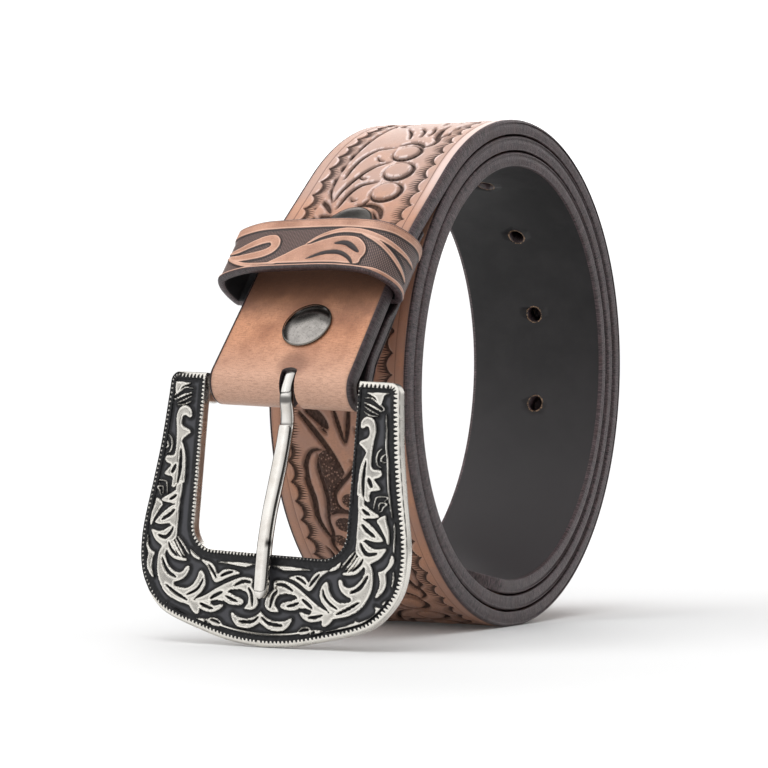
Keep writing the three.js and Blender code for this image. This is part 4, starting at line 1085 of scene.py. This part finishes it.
# Raised leaves, each by its outline
LEAVES = [
    [(22.0, 8.7), (21.9, 7.9), (22.3, 6.9), (23.2, 6.2), (24.3, 6.3), (25.2, 6.9), (25.7, 8.1), (25.8, 9.6),
     (25.5, 11.5), (25.3, 14), (25.25, 16), (25.5, 17.4), (26.2, 17.9), (27.4, 17.9), (28.1, 18.4),
     (28.0, 19.1), (27.3, 19.7), (26.3, 20.05), (27.1, 21.0), (28.0, 22.1), (27.2, 22.6), (25.7, 22.9),
     (25.5, 23.9), (25.7, 24.9), (25.2, 25.3), (24.6, 25.0), (24.3, 24.4), (23.4, 24.0), (22.5, 23.9),
     (22.4, 22), (22.5, 19), (22.8, 17), (23.3, 15.5), (23.8, 14.2), (22.9, 13.2), (21.9, 12.3),
     (22.4, 11.6), (23.6, 11.1), (24.2, 10.5), (24.3, 9.6), (24.0, 8.6), (23.3, 8.4), (22.6, 8.9)],
    [(22.8, 0.9), (24, 0.75), (26, 0.65), (28.3, 0.7), (27.2, 1.2), (26.9, 2.2), (26.6, 3.4), (26.3, 3.7),
     (25.8, 3.2), (25.4, 2.5), (25, 1.9), (24, 1.4)],
    [(22.9, 24.0), (24.2, 24.4), (24.3, 28), (24.2, 34), (24.4, 36.4), (25.3, 37.7), (26.3, 38.4),
     (27.1, 39.2), (27.7, 40.3), (27.95, 42), (27.9, 44), (27.5, 45.8), (26.6, 47.6), (25.4, 49.2),
     (23.6, 50.5), (21.4, 51.4), (19.2, 51.9), (18.6, 52.3), (18.1, 53.0), (17.3, 53.7), (16.5, 53.8),
     (16.1, 53.2), (16.1, 52.5), (14.8, 52.9), (13.0, 53.1), (11.3, 52.5), (10.2, 51.3), (10.6, 51.0),
     (11.8, 51.4), (13.0, 51.3), (13.4, 50.6), (15, 50.4), (17.2, 50.7), (18.2, 50.3), (20.0, 48.3),
     (22.0, 48.1), (22.9, 47.6), (22.9, 47.0), (21.8, 46.6), (20.6, 45.8), (19.8, 44.6), (19.5, 43.4),
     (19.8, 43.0), (20.4, 43.3), (21.0, 44.3), (21.9, 44.7), (23.2, 44.4), (24.7, 43.2), (25.7, 41.5),
     (25.9, 40.2), (25.4, 39.8), (24.7, 40.7), (23.6, 41.5), (22.2, 41.9), (20.5, 41.9), (20.5, 41.4),
     (22.0, 41.2), (22.7, 40.6), (23.7, 38.8), (24.4, 37.6), (23.7, 37.0), (23.2, 36.4), (23.2, 30),
     (22.9, 26)],
    [(23.3, 25.1), (24.2, 25.7), (25.6, 26.6), (27.2, 27.5), (28.2, 28.1), (28.0, 28.5), (26.8, 28.8),
     (25.3, 28.9), (25.0, 29.1), (24.0, 28.8), (23.3, 28)],
    [(23.3, 29.4), (24.6, 29.3), (25.3, 29.6), (26.9, 30.7), (28.2, 31.9), (29.7, 33.4), (29.4, 33.8),
     (28.2, 34.0), (26.8, 33.9), (25.4, 33.6), (25.1, 33.9), (23.3, 34.2)],
    [(23.3, 34.3), (24.8, 34.1), (25.6, 34.5), (26.7, 35.2), (28.1, 35.6), (29.6, 35.4), (30.6, 35.3),
     (30.2, 36.3), (29.3, 37.5), (28.2, 38.3), (27.1, 38.9), (26.9, 39.4), (24.6, 38), (23.3, 36.6)],
    [(27.8, 29.4), (28.2, 28.7), (29.2, 28.1), (29.9, 28.0), (30.2, 29.4), (30.9, 31.2), (31.2, 33.2),
     (31.1, 34.3), (30.7, 34.1), (30.3, 33.0), (29.4, 31.6), (28.6, 30.4)],
    [(32.1, 36.6), (32.7, 37.2), (32.7, 38.2), (32.2, 39.2), (31.0, 40.7), (31.1, 41.4), (31.3, 42.8),
     (31.0, 44.2), (30.2, 45.4), (29.2, 46.3), (28.8, 46.2), (29.3, 45), (29.7, 43.6), (29.6, 42.2),
     (29.2, 41.0), (29.1, 40.6), (30.0, 40.3), (30.9, 39.6), (31.5, 38.6), (31.8, 37.4)],
    [(30.6, 47.5), (31.2, 47.0), (32.2, 46.4), (31.9, 47.4), (31.2, 47.9)],
    [(17.0, 41.4), (17.3, 40.8), (18.4, 40.1), (19.7, 39.1), (19.3, 40.3), (18.3, 41.1)],
    [(2.2, 41.3), (4, 41.1), (8, 41.15), (12.2, 41.5), (9, 41.8), (5.8, 42.15), (4.6, 41.9), (3.4, 41.5)],
    [(6.7, 43.7), (8.0, 43.1), (9.5, 42.9), (10.8, 43.2), (11.7, 44.1), (12.1, 44.1), (12.7, 43.0),
     (13.6, 42.0), (14.8, 41.5), (16.8, 41.2), (15.6, 42.2), (14.6, 43.1), (13.7, 44.6), (13.0, 45.7),
     (12.3, 46.2), (11.4, 45.9), (10, 45.0), (8.4, 44.2)],
    [(2.8, 45.1), (3.4, 44.55), (4.8, 44.35), (6.2, 44.5), (8.0, 45.1), (10.0, 46.2), (12.0, 47.5),
     (13.8, 48.7), (15.6, 49.7), (17.4, 50.5), (16.4, 51.2), (14.4, 50.9), (13.0, 50.5), (11.4, 50.1),
     (10.2, 50.2), (9.8, 48.6), (9.2, 47.8), (8.6, 47.5), (6.4, 47.3), (4.6, 47.7), (3.9, 48.4),
     (3.6, 49.4), (3.8, 50.3), (4.3, 50.9), (4.7, 51.5), (3.1, 51.7), (1.7, 51.2), (1.0, 50.2),
     (1.2, 48.8), (2.2, 47.3), (3.0, 46.4)],
    [(5.0, 50.1), (5.4, 49.5), (6.4, 49.1), (8.0, 48.7), (9.4, 48.1), (10.4, 48.6), (11.4, 50.2),
     (10.2, 50.2), (9.0, 50.8), (7.2, 50.95), (5.6, 50.7)],
    [(16.4, 43.75), (17.0, 44.3), (17.4, 45.7), (18.5, 47.3), (20.2, 48.2), (22.4, 48.0), (22.6, 49),
     (20, 50.8), (18, 50.6), (16.9, 49.6), (15.7, 48.4), (15.05, 47.0), (15.1, 45.6), (15.6, 44.5)],
    [(-0.2, 51.7), (0.3, 52.1), (1.6, 53.0), (3.4, 53.6), (5.6, 53.6), (7.0, 53.2), (8.1, 52.6), (8.3, 53.2),
     (7.6, 54.5), (6.4, 55.6), (4.6, 55.95), (2.6, 55.7), (1.0, 54.9), (-0.2, 54.0)],
    [(13.2, 55.3), (14.2, 54.8), (15.6, 54.7), (17.4, 54.8), (19.4, 54.2), (21.5, 53.4), (23.6, 52.6),
     (24.3, 52.2), (24.4, 51.8), (24.8, 52.1), (26, 51.9), (27.4, 51.2), (28.6, 50.4), (29.2, 49.6),
     (29.2, 48.8), (28.8, 48.2), (29.8, 48.5), (30.9, 48.4), (30.9, 49.1), (30.3, 50.0), (29, 51.3),
     (27.2, 52.6), (25.2, 53.6), (22.4, 54.4), (19.4, 55.0), (17.8, 55.6), (17, 56.0), (15.2, 56.2),
     (13.8, 56.1)],
]
# Raised lines: width, and the places that each runs through
LEAF_LINES = [
    (0.35, (22.3, 2.1), (24, 2.0), (25.4, 2.8), (26.9, 3.8), (27.4, 4.4), (26.6, 5.0)),
    (0.5, (22.4, 3.1), (24.4, 3.8), (26.8, 4.9)),
    (0.3, (22.4, 3.9), (24.2, 4.9), (26.2, 5.7)),
    (0.3, (22.4, 5.1), (24.0, 5.9), (26.0, 6.1)),
    (0.4, (28.0, 5.5), (28.4, 9), (28.7, 13), (29.3, 16), (29.7, 20), (30.4, 24), (31.4, 28.4)),
    (0.35, (27.7, 13.1), (26.8, 14.0), (26.5, 15.5), (26.9, 16.9), (27.8, 17.4)),
    (0.35, (28.8, 14.2), (27.9, 14.9), (27.6, 15.7), (28.2, 16.2), (29.0, 16.1)),
    (0.3, (26.7, 26.8), (27.0, 24.9), (27.4, 24.0), (29.4, 23.8), (30.0, 24.1), (29.3, 24.8)),
    (0.3, (28.0, 26.9), (28.2, 25.3), (29.9, 25.4), (29.1, 26.2), (28.8, 27.0), (28.1, 27.3)),
    (0.35, (32.1, 29.5), (32.4, 33), (32.5, 36.2)),
    (0.35, (32.8, 40.3), (32.9, 42), (32.7, 43.7)),
    (0.4, (23.0, 36.4), (21.4, 38.3), (19.8, 40.4)),
    (0.4, (23.5, 36.9), (22.3, 38.9), (21.0, 40.8)),
    (0.6, (24.2, 37.3), (22.9, 39.4), (21.5, 41.2)),
    (0.35, (10.1, 55.6), (11.2, 54.6), (12.6, 54.4), (13.2, 54.9), (12.4, 55.7), (10.9, 56.0), (10.1, 55.6)),
]
# Blackened grooves inside the leaves
LEAF_SLOTS = [
    (0.8, (23.9, 16.1), (23.75, 18), (23.7, 21), (24.05, 24.2)),
    (0.95, (24.9, 20.0), (25.4, 20.9), (25.9, 21.9)),
    (0.7, (24.0, 26.9), (24.9, 27.6), (26.0, 28.1)),
    (0.85, (24.2, 30.3), (25.6, 31.6), (27.7, 32.9)),
    (0.9, (24.2, 34.5), (25.0, 35.9), (26.3, 36.9), (28.5, 36.5)),
    (0.7, (25.2, 37.9), (24.4, 39.4), (22.7, 41.0)),
    (0.9, (26.7, 41.6), (25.6, 43.6), (24.4, 44.9), (22.6, 45.8)),
    (0.7, (19.4, 50.9), (22, 49.6), (25.1, 47.7)),
    (0.65, (15.7, 45.5), (16.3, 47.1), (17.6, 48.5), (19.8, 49.7)),
    (0.7, (8.6, 43.4), (10.0, 43.9), (11.3, 44.7)),
    (0.7, (12.2, 45.2), (13.2, 43.8), (14.6, 42.2)),
    (0.8, (3.4, 45.4), (5.6, 45.4), (8.1, 46.5)),
    (0.8, (4.0, 46.7), (2.9, 48.2), (2.4, 50.8)),
    (0.8, (10.6, 48.2), (11.9, 49.0), (13.4, 50.0)),
    (0.65, (6.7, 50.1), (8.3, 49.7), (9.9, 49.0)),
    (0.7, (12.4, 52.2), (14.3, 51.9), (16.1, 51.3)),
    (0.75, (0.3, 53.0), (2.4, 54.3), (6.1, 54.5)),
    (0.7, (13.6, 55.7), (14.0, 55.4), (14.5, 55.2)),
    (0.6, (15.3, 55.7), (16.3, 55.3), (17.3, 54.9)),
    (0.35, (26.0, 51.6), (27.3, 50.8), (28.4, 50.1)),
]
# Milled teeth along both rims: their pitch, and how far in from the rim they start and end
OUTER_TEETH, WINDOW_TEETH = (1.05, 0.4, 1.3), (0.9, 0.0, 0.75)
# The far half was cast a little wider: the same leaves lie at these places there
NEAR_SIDES = [0, 8.3, 12.2, 17.4, 19.8, 24.0, 27.9, 31.1, 36.0]
FAR_SIDES = [0, 7.9, 12.8, 18.2, 20.9, 26.0, 30.0, 33.0, 36.0]


def arc(centre, radius, start, end, count=14):
    turns = np.radians(np.linspace(start, end, count))
    return np.stack([centre[0] + radius * np.cos(turns), centre[1] - radius * np.sin(turns)], -1)


mirrored_edge = [(-side, down) for side, down in FRAME_EDGE[:-1]]
swept_edge = smooth_line(FRAME_EDGE + mirrored_edge[::-1], 0.2)
half_edge = swept_edge[:np.argmin(np.hypot(*(swept_edge - np.array(FRAME_EDGE[-1])).T)) + 1][::-1]
outer_half = np.vstack([half_edge, arc((ARM_HALF - ARM_CORNER, ARM_TOP + ARM_CORNER), ARM_CORNER, 0, 90)])
window_turn = arc((WINDOW_HALF - WINDOW_CORNER, RAIL_TOP - WINDOW_CORNER), WINDOW_CORNER, -90, 0)
inner_half = np.vstack([[(0, RAIL_TOP)], window_turn, [(WINDOW_HALF, ARM_TOP)]])


def nearest_length(line, place):
    dense = np.linspace(0, lengths_of(line)[-1], 4000)
    return dense[np.argmin(np.hypot(*(places_on(line, dense) - np.array(place)).T))]


# Places of the outer edge that lie across from places of the inner one
PAIRS = [((0, 59.7), (0, 38.8)), ((24.5, 55.0), (14.5, 38.8)), ((35.4, 42.5), (20.5, 32.8)),
         ((30.9, 2.5), (20.5, 1.6)), ((28.3, -1.7), (20.5, -1.7))]
outer_knots = [nearest_length(outer_half, o) for o, _ in PAIRS]
inner_knots = [nearest_length(inner_half, i) for _, i in PAIRS]
outer_stops = np.concatenate([np.arange(0, outer_knots[-1], 0.25), [outer_knots[-1]]])
inner_stops = np.interp(outer_stops, outer_knots, inner_knots)
outer_line, inner_line = places_on(outer_half, outer_stops), places_on(inner_half, inner_stops)
flip = np.array([-1.0, 1.0])
outer_line = np.vstack([outer_line[:0:-1] * flip, outer_line])
inner_line = np.vstack([inner_line[:0:-1] * flip, inner_line])
FACE_COLUMNS = 84
share = np.linspace(0, 1, FACE_COLUMNS)[None, :, None]
face = inner_line[:, None, :] * (1 - share) + outer_line[:, None, :] * share
side, down = face[..., 0].ravel(), face[..., 1].ravel()
outer_rim = np.vstack([[(WINDOW_HALF, ARM_TOP)], outer_half[::-1]])
window_rim = inner_half[::-1]


def rim_fields(line, x, y):
    """Distance from a rim's line, and how far along it the nearest place is."""
    stops = np.arange(0, lengths_of(line)[-1], 0.12)
    dense = places_on(line, stops)
    distance, run = np.zeros(x.shape), np.zeros(x.shape)
    for chunk in np.array_split(np.arange(len(x)), len(x) // 8000 + 1):
        apart = np.hypot(x[chunk, None] - dense[:, 0], y[chunk, None] - dense[:, 1])
        best = apart.argmin(1)
        distance[chunk] = apart[np.arange(len(chunk)), best]
        run[chunk] = stops[best]
    return distance, run


from_outer, outer_run = rim_fields(outer_rim, np.abs(side), down)
from_window, window_run = rim_fields(window_rim, np.abs(side), down)


def leaf_field(x, y, outlines):
    """Distance outside the nearest leaf, and below 0 inside one; the outlines are smoothed."""
    field = np.full(x.shape, 3.0)
    for outline in outlines:
        knots = np.array([outline[-1], *outline, *outline[:2]], float)
        line = smooth_line(knots, 0.3)
        first = np.argmin(np.hypot(*(line - knots[1]).T))
        last = len(line) - 1 - np.argmin(np.hypot(*(line[::-1] - knots[-2]).T))
        line = line[first:last]
        low, high = line.min(0) - 1.2, line.max(0) + 1.2
        near = np.nonzero((x > low[0]) & (x < high[0]) & (y > low[1]) & (y < high[1]))[0]
        for chunk in np.array_split(near, max(len(near) // 8000, 1)):
            field[chunk] = np.minimum(field[chunk], inside_field(x[chunk], y[chunk], line))
    return field


def teeth(distance, run, pitch, low, high):
    """Distance outside the nearest tooth, below 0 inside one; a tooth thins away from its rim."""
    phase = np.abs((run / pitch) % 1 - 0.5) * pitch
    inward = np.clip((distance - low) / (high - low), 0, 1)
    wide = (0.4 - 0.26 * inward) * pitch
    return np.maximum(np.abs(distance - (low + high) / 2) - (high - low) / 2, phase - wide)


leaf_side = np.where(side > 0, np.interp(side, FAR_SIDES, NEAR_SIDES), -side)
raised = leaf_field(leaf_side, down, LEAVES)
raised = np.minimum(raised, stroke_field(leaf_side, down, LEAF_LINES, 0.3))
raised = np.maximum(raised, -stroke_field(leaf_side, down, LEAF_SLOTS, 0.3))
rim_line = np.maximum(np.abs(from_outer - 2.8) - 0.2, leaf_side - 14)
raised = np.minimum(raised, np.maximum(rim_line, 50 - down))
raised = np.maximum(raised, np.maximum(2.0 - from_outer, 1.5 - from_window))
outer_teeth = teeth(from_outer, outer_run, *OUTER_TEETH)
window_teeth = teeth(from_window, window_run, *WINDOW_TEETH)
# Painted shade and highlight on the rims: the far arm's rim darker with smaller teeth, the near arm's
# and the bottom's rims brighter, and the window's teeth on the near half smaller and darker
far_arm_shade = smooth_step(side, 24, 31)
near_arm_highlight = 1 - smooth_step(side, 14, 27)
outer_teeth = outer_teeth + 0.13 * far_arm_shade - 0.05 * near_arm_highlight
window_teeth = window_teeth + 0.17 * (1 - smooth_step(side, -4, 6))
low_lip = smooth_step(down, 48, 54)
plain_rim = from_outer - 0.45 + 0.5 * far_arm_shade * (1 - low_lip) - 0.12 * near_arm_highlight - 0.25 * low_lip
silver = np.minimum(np.minimum(raised, plain_rim), np.minimum(outer_teeth, window_teeth))
# How far the face lies under its highest leaves: the ground, and what is rubbed off the rims
ground_drop = np.where((from_outer < 1.65) | (from_window < 0.72), RIM_RELIEF, RELIEF)
drop = ground_drop * smooth_step(silver, -0.1, 0.2)
drop = drop + 0.12 * smooth_step(-raised, 0.22, 0.6)
drop = drop + 0.55 * np.clip(1 - from_outer / 1.8, 0, 1) ** 1.2
drop = drop + 0.1 * np.clip(1 - from_outer / 0.35, 0, 1) ** 2
drop = drop + 0.2 * np.clip(1 - from_window / 0.3, 0, 1) ** 2
drop = drop.reshape(face.shape[:2])
silver_grid = silver.reshape(face.shape[:2])

BUCKLE_TILT, BUCKLE_ROLL = math.radians(4.49), math.radians(2.57)
buckle_turn = Matrix.Rotation(BUCKLE_ROLL, 3, "X") @ Matrix.Rotation(BUCKLE_TILT, 3, "Y")


def in_buckle(points, slew=0.0):
    """From the buckle's own frame, with the bar through its origin, to the belt's."""
    turn = np.array(buckle_turn @ Matrix.Rotation(slew, 3, "X"))
    return np.asarray(points, float) @ turn.T + np.array([BAR_X, 0.0, BAR_Z])


def plate_point(place, depth):
    bow = PLATE_BOW * (place[..., 0] / BOW_AT) ** 2
    return np.stack([-FACE_AHEAD + depth + bow, place[..., 0], -place[..., 1]], -1)


# Over the plate's edge to its back: the depth from the face, and how far in from the outline
EDGE_STEPS = [(0.8, 0.0), (1.1, -0.02), (1.6, 0.0), (2.2, 0.0), (2.75, 0.08), (3.05, 0.3), (PLATE_THICK, 0.7)]
cross_way = outer_line - inner_line
cross_way = cross_way / np.linalg.norm(cross_way, axis=1, keepdims=True)
columns = [plate_point(face, drop)]
for depth, inset in EDGE_STEPS:
    columns.append(plate_point(outer_line - cross_way * inset, depth)[:, None])
for portion in (0.75, 0.5, 0.25):
    between = inner_line * (1 - portion) + outer_line * portion
    columns.append(plate_point(between, PLATE_THICK)[:, None])
for depth, inset in EDGE_STEPS[::-1]:
    columns.append(plate_point(inner_line + cross_way * inset, depth)[:, None])
ring_points = np.concatenate(columns, axis=1)
rows, ring = ring_points.shape[:2]
index, after = ring_numbers(rows, ring)
frame_faces = np.stack([index[:-1], index[1:], after[1:], after[:-1]], -1).reshape(-1, 4).tolist()
frame_faces += [index[0].tolist(), index[-1][::-1].tolist()]
# The plain edge and back are as silver as a leaf just inside its outline
PLAIN_SILVER = -0.25
frame_silver = np.full((rows, ring), PLAIN_SILVER)
frame_silver[:, :FACE_COLUMNS] = silver_grid
frame_points = ring_points.reshape(-1, 3).tolist()
silver_values = frame_silver.ravel().tolist()
from_edges = np.minimum(from_outer - 1.7, from_window - 1.4).reshape(face.shape[:2])
frame_ground = np.zeros((rows, ring))
frame_ground[:, :FACE_COLUMNS] = np.minimum(silver_grid, from_edges)
ground_values = frame_ground.ravel().tolist()

# The lugs: a rounded outline at each level from inside the plate to their backs, which are
# drawn in a little. A corner is which way it lies and where its quarter turn starts.
LUG_INNER, LUG_OUTER, LUG_HALF, LUG_BEHIND, LUG_ROUND = 20.9, 25.5, 3.4, 3.4, 0.8
LUG_LEVELS = [(-2.6, 0.0), (LUG_BEHIND - 0.8, 0.0), (LUG_BEHIND - 0.25, 0.22), (LUG_BEHIND, 0.75)]
LUG_CORNERS = [(1, 1, 0), (-1, 1, 90), (-1, -1, 180), (1, -1, 270)]
lug_outline = [(y_end, z_end, math.cos(math.radians(quarter + turn)), math.sin(math.radians(quarter + turn)))
               for y_end, z_end, quarter in LUG_CORNERS for turn in (0, 30, 60, 90)]
lug_sides = len(lug_outline)
for hand in (1, -1):
    start = len(frame_points)
    low_y, high_y = sorted((hand * LUG_INNER, hand * LUG_OUTER))
    middle_y, half_y = (low_y + high_y) / 2, (high_y - low_y) / 2
    middle_z = -ARM_TOP - LUG_HALF
    for x, inset in LUG_LEVELS:
        for y_end, z_end, cos_turn, sin_turn in lug_outline:
            y = middle_y + y_end * (half_y - LUG_ROUND) + cos_turn * (LUG_ROUND - inset)
            z = middle_z + z_end * (LUG_HALF - LUG_ROUND) + sin_turn * (LUG_ROUND - inset)
            frame_points.append((x, y, z))
            silver_values.append(PLAIN_SILVER)
            ground_values.append(0.0)
    for row in range(len(LUG_LEVELS) - 1):
        for k in range(lug_sides):
            a, b = start + row * lug_sides + k, start + row * lug_sides + (k + 1) % lug_sides
            frame_faces.append((a, b, b + lug_sides, a + lug_sides))
    last_level = start + (len(LUG_LEVELS) - 1) * lug_sides
    frame_faces.append(tuple(last_level + k for k in range(lug_sides)))
    frame_faces.append(tuple(start + k for k in range(lug_sides - 1, -1, -1)))

POLISHED = linear(232, 228, 220)

buckle_silver = Finish("blackened_silver")
spot = buckle_silver.coordinates("Object")
silver_field = buckle_silver.field("silver")
wear = spot.noise(900, 4, 0.65)
cloud = spot.noise(160, 4, 0.6)
ragged = silver_field + (wear - 0.5) * 0.16
is_silver = ragged.rise(0.06, -0.07)
patches = cloud.rise(0.35, 0.65)
tarnish = patches.mix(linear(150, 147, 142), linear(196, 192, 184))
bright = (ragged.rise(-0.26, -0.62) * 0.75).mix(POLISHED, tarnish)
black = wear.rise(0.45, 0.8).mix(linear(20, 20, 22), linear(44, 44, 46))
open_ground = buckle_silver.field("ground").rise(0.45, 1.1)
black = open_ground.mix(black, linear(64, 64, 68))
buckle_silver.set("Base Color", is_silver.mix(black, bright))
buckle_silver.set("Metallic", is_silver.blend(0.35, 1.0))
buckle_silver.set("Roughness", is_silver.blend(0.5, cloud.blend(0.2, 0.34)))
buckle_silver.bump(wear, 0.03, 0.5)

frame_cast = mesh_object("buckle_casting", in_buckle(frame_points), frame_faces, [buckle_silver])
store(frame_cast, "silver", np.array(silver_values))
store(frame_cast, "ground", np.array(ground_values))
frame_cast.data.set_sharp_from_angle(angle=math.radians(55))
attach(frame_cast, "buckle")
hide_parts("buckle_frame")


# A plain steel bar runs between the lugs, and a nickelled prong forged from flat strip is bent
# round it: the prong comes forward through the slot in the fold and lies on the buckle's rail.
PRONG_SLEW = math.radians(-1.4)
# Ahead of the bar, down from it, to the near side, and the strip's width
PRONG_LINE = [
    (-1.9, 1.9, 1.9, 3.2), (-2.75, 0.3, 1.9, 3.3), (-2.2, -1.8, 1.9, 3.3), (-0.6, -3.0, 1.9, 3.3),
    (1.2, -3.15, 1.9, 3.3), (2.7, -2.3, 1.9, 3.3), (3.65, -0.4, 1.85, 3.3), (4.0, 1.8, 1.75, 3.3),
    (3.45, 4.0, 1.45, 3.2), (2.1, 6.3, 1.05, 3.2), (1.2, 8.4, 0.65, 3.3), (1.0, 9.8, 0.3, 3.4),
    (1.5, 13.2, 0.25, 3.5), (2.6, 17.6, 0.3, 3.55), (4.1, 23.2, 0.28, 3.45), (5.5, 29.5, 0.08, 3.35),
    (6.25, 35.5, -0.12, 3.4), (6.7, 41, -0.1, 3.5), (7.0, 46, 0.0, 3.4), (7.15, 48.9, 0.0, 2.9),
]
UNDER_BAR = (4.0, 1.8)
PRONG_STEP, STEP_HALF, GROOVE_HALF = 8.8, 0.35, 0.28
STRIP_HALF, STEP_RISE, GROOVE_DEPTH, TIP_ROUND = 0.9, 0.08, 0.16, 2.0
prong_measures = smooth_line(PRONG_LINE, 0.18)
prong_path = prong_measures[:, :2]
prong_aside = -prong_measures[:, 2]
prong_width = prong_measures[:, 3]
under_bar = np.argmin(np.hypot(*(prong_path - np.array(UNDER_BAR)).T))
prong_way = np.gradient(prong_path, axis=0)
prong_way /= np.linalg.norm(prong_way, axis=1, keepdims=True)
prong_out = np.stack([prong_way[:, 1], -prong_way[:, 0]], -1)
past_step = smooth_step(prong_path[:, 1], PRONG_STEP - STEP_HALF, PRONG_STEP + STEP_HALF)
past_step[:under_bar] = 0
from_tip = lengths_of(prong_path[::-1])[::-1]
tip_round = np.sqrt(np.clip(1 - (1 - np.clip(from_tip / TIP_ROUND, 0, 1)) ** 2, 0, 1))
half_width = prong_width / 2 * np.maximum(tip_round, 0.04)
half_thick = (STRIP_HALF + STEP_RISE * past_step) * np.maximum(tip_round, 0.35) ** 0.6
groove = np.exp(-((prong_path[:, 1] - PRONG_STEP) / GROOVE_HALF) ** 2)
groove[:under_bar] = 0
half_thick = half_thick - GROOVE_DEPTH * groove
# Round the section: across, out, each as a share of its half, before the step and after it
SECTION_BEFORE = [
    (-1, 0), (-0.98, 0.34), (-0.91, 0.62), (-0.77, 0.83), (-0.52, 0.96), (0, 1), (0.52, 0.96), (0.77, 0.83),
    (0.91, 0.62), (0.98, 0.34), (1, 0), (0.97, -0.6), (0.8, -1), (0, -1), (-0.8, -1), (-0.97, -0.6),
]
SECTION_AFTER = [
    (-1, -0.05), (-0.99, 0.25), (-0.93, 0.5), (-0.74, 0.78), (-0.5, 0.96), (-0.2, 1), (0.74, 1), (0.86, 0.92),
    (0.95, 0.66), (0.99, 0.3), (1, -0.05), (0.99, -0.65), (0.86, -1), (0, -1), (-0.86, -1), (-0.99, -0.65),
]
section = np.array(SECTION_BEFORE)[None] * (1 - past_step[:, None, None])
section = section + np.array(SECTION_AFTER)[None] * past_step[:, None, None]
prong_y = section[..., 0] * half_width[:, None] + prong_aside[:, None]
ahead = prong_path[:, None, 0] + prong_out[:, None, 0] * section[..., 1] * half_thick[:, None]
lower = prong_path[:, None, 1] + prong_out[:, None, 1] * section[..., 1] * half_thick[:, None]
prong_points = np.stack([-ahead, prong_y, -lower], -1)
rows, ring = prong_points.shape[:2]
index, after = ring_numbers(rows, ring)
prong_faces = np.stack([index[:-1], after[:-1], after[1:], index[1:]], -1).reshape(-1, 4).tolist()
prong_faces += [index[0][::-1].tolist(), index[-1].tolist()]

nickel = Finish("polished_nickel", Metallic=1.0)
spot = nickel.coordinates("Object")
drawn = spot.stretch((1, 1, 0.12)).noise(2600, 3, 0.6)
haze = spot.noise(220, 4, 0.6)
nickel_colour = haze.rise(0.4, 0.75).mix(linear(246, 242, 236), linear(226, 219, 210))
# Painted reflection: darkened where the metal would mirror something dark
nickel_colour = nickel.field("dark_reflection").mix(nickel_colour, linear(34, 33, 33))
nickel.set("Base Color", nickel_colour)
nickel.set("Roughness", haze.blend(0.07, 0.2))
nickel.bump(drawn, 0.008, 0.5)

prong = mesh_object("prong_strip", in_buckle(prong_points.reshape(-1, 3), PRONG_SLEW), prong_faces, [nickel])
# Painted reflection: where the prong's bright metal would mirror dark things it is painted dark: the
# fold's shade under the bar, the groove at the step, a patch above the rail, the corners and
# undersides of its section, and a little between the knuckle and the step and down the lower end
down_prong = prong_path[:, 1]
dark_reflection = 0.85 * smooth_step(down_prong, 1.9, 3.0) * smooth_step(down_prong, 4.5, 3.7)
dark_reflection += 0.12 * smooth_step(down_prong, 4.2, 4.8) * smooth_step(down_prong, 8.9, 8.4)
dark_reflection = dark_reflection + 0.75 * groove + 0.12 * smooth_step(down_prong, 31, 37)
dark_reflection[:under_bar - 12] = 0.0
CORNER_DARK_REFLECTION = [0.1, 0.3, 0.8, 0.5, 0.3, 0.0, 0.2, 0.9, 0.95, 0.9, 0.9, 0.8, 0.5, 0.5, 0.5, 0.8]
NEAR_SIDE_DARK_REFLECTION = [0.7, 0.9, 1.0, 1.0, 0.9, 0.15, 0.0, 0.0, 0.0, 0.0, 0.0, 0.0, 0.0, 0.0, 0.0, 0.5]
patch_above_rail = np.exp(-((down_prong - 36.3) / 1.3) ** 2)
dark_reflection_ring = np.maximum(dark_reflection[:, None], np.array(CORNER_DARK_REFLECTION)[None])
dark_reflection_ring = np.maximum(dark_reflection_ring, patch_above_rail[:, None] * np.array(NEAR_SIDE_DARK_REFLECTION)[None])
store(prong, "dark_reflection", np.clip(dark_reflection_ring, 0, 1).ravel())
prong.data.set_sharp_from_angle(angle=math.radians(60))
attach(prong, "prong")
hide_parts("buckle_prong")
refinish("buckle_bar", nickel)
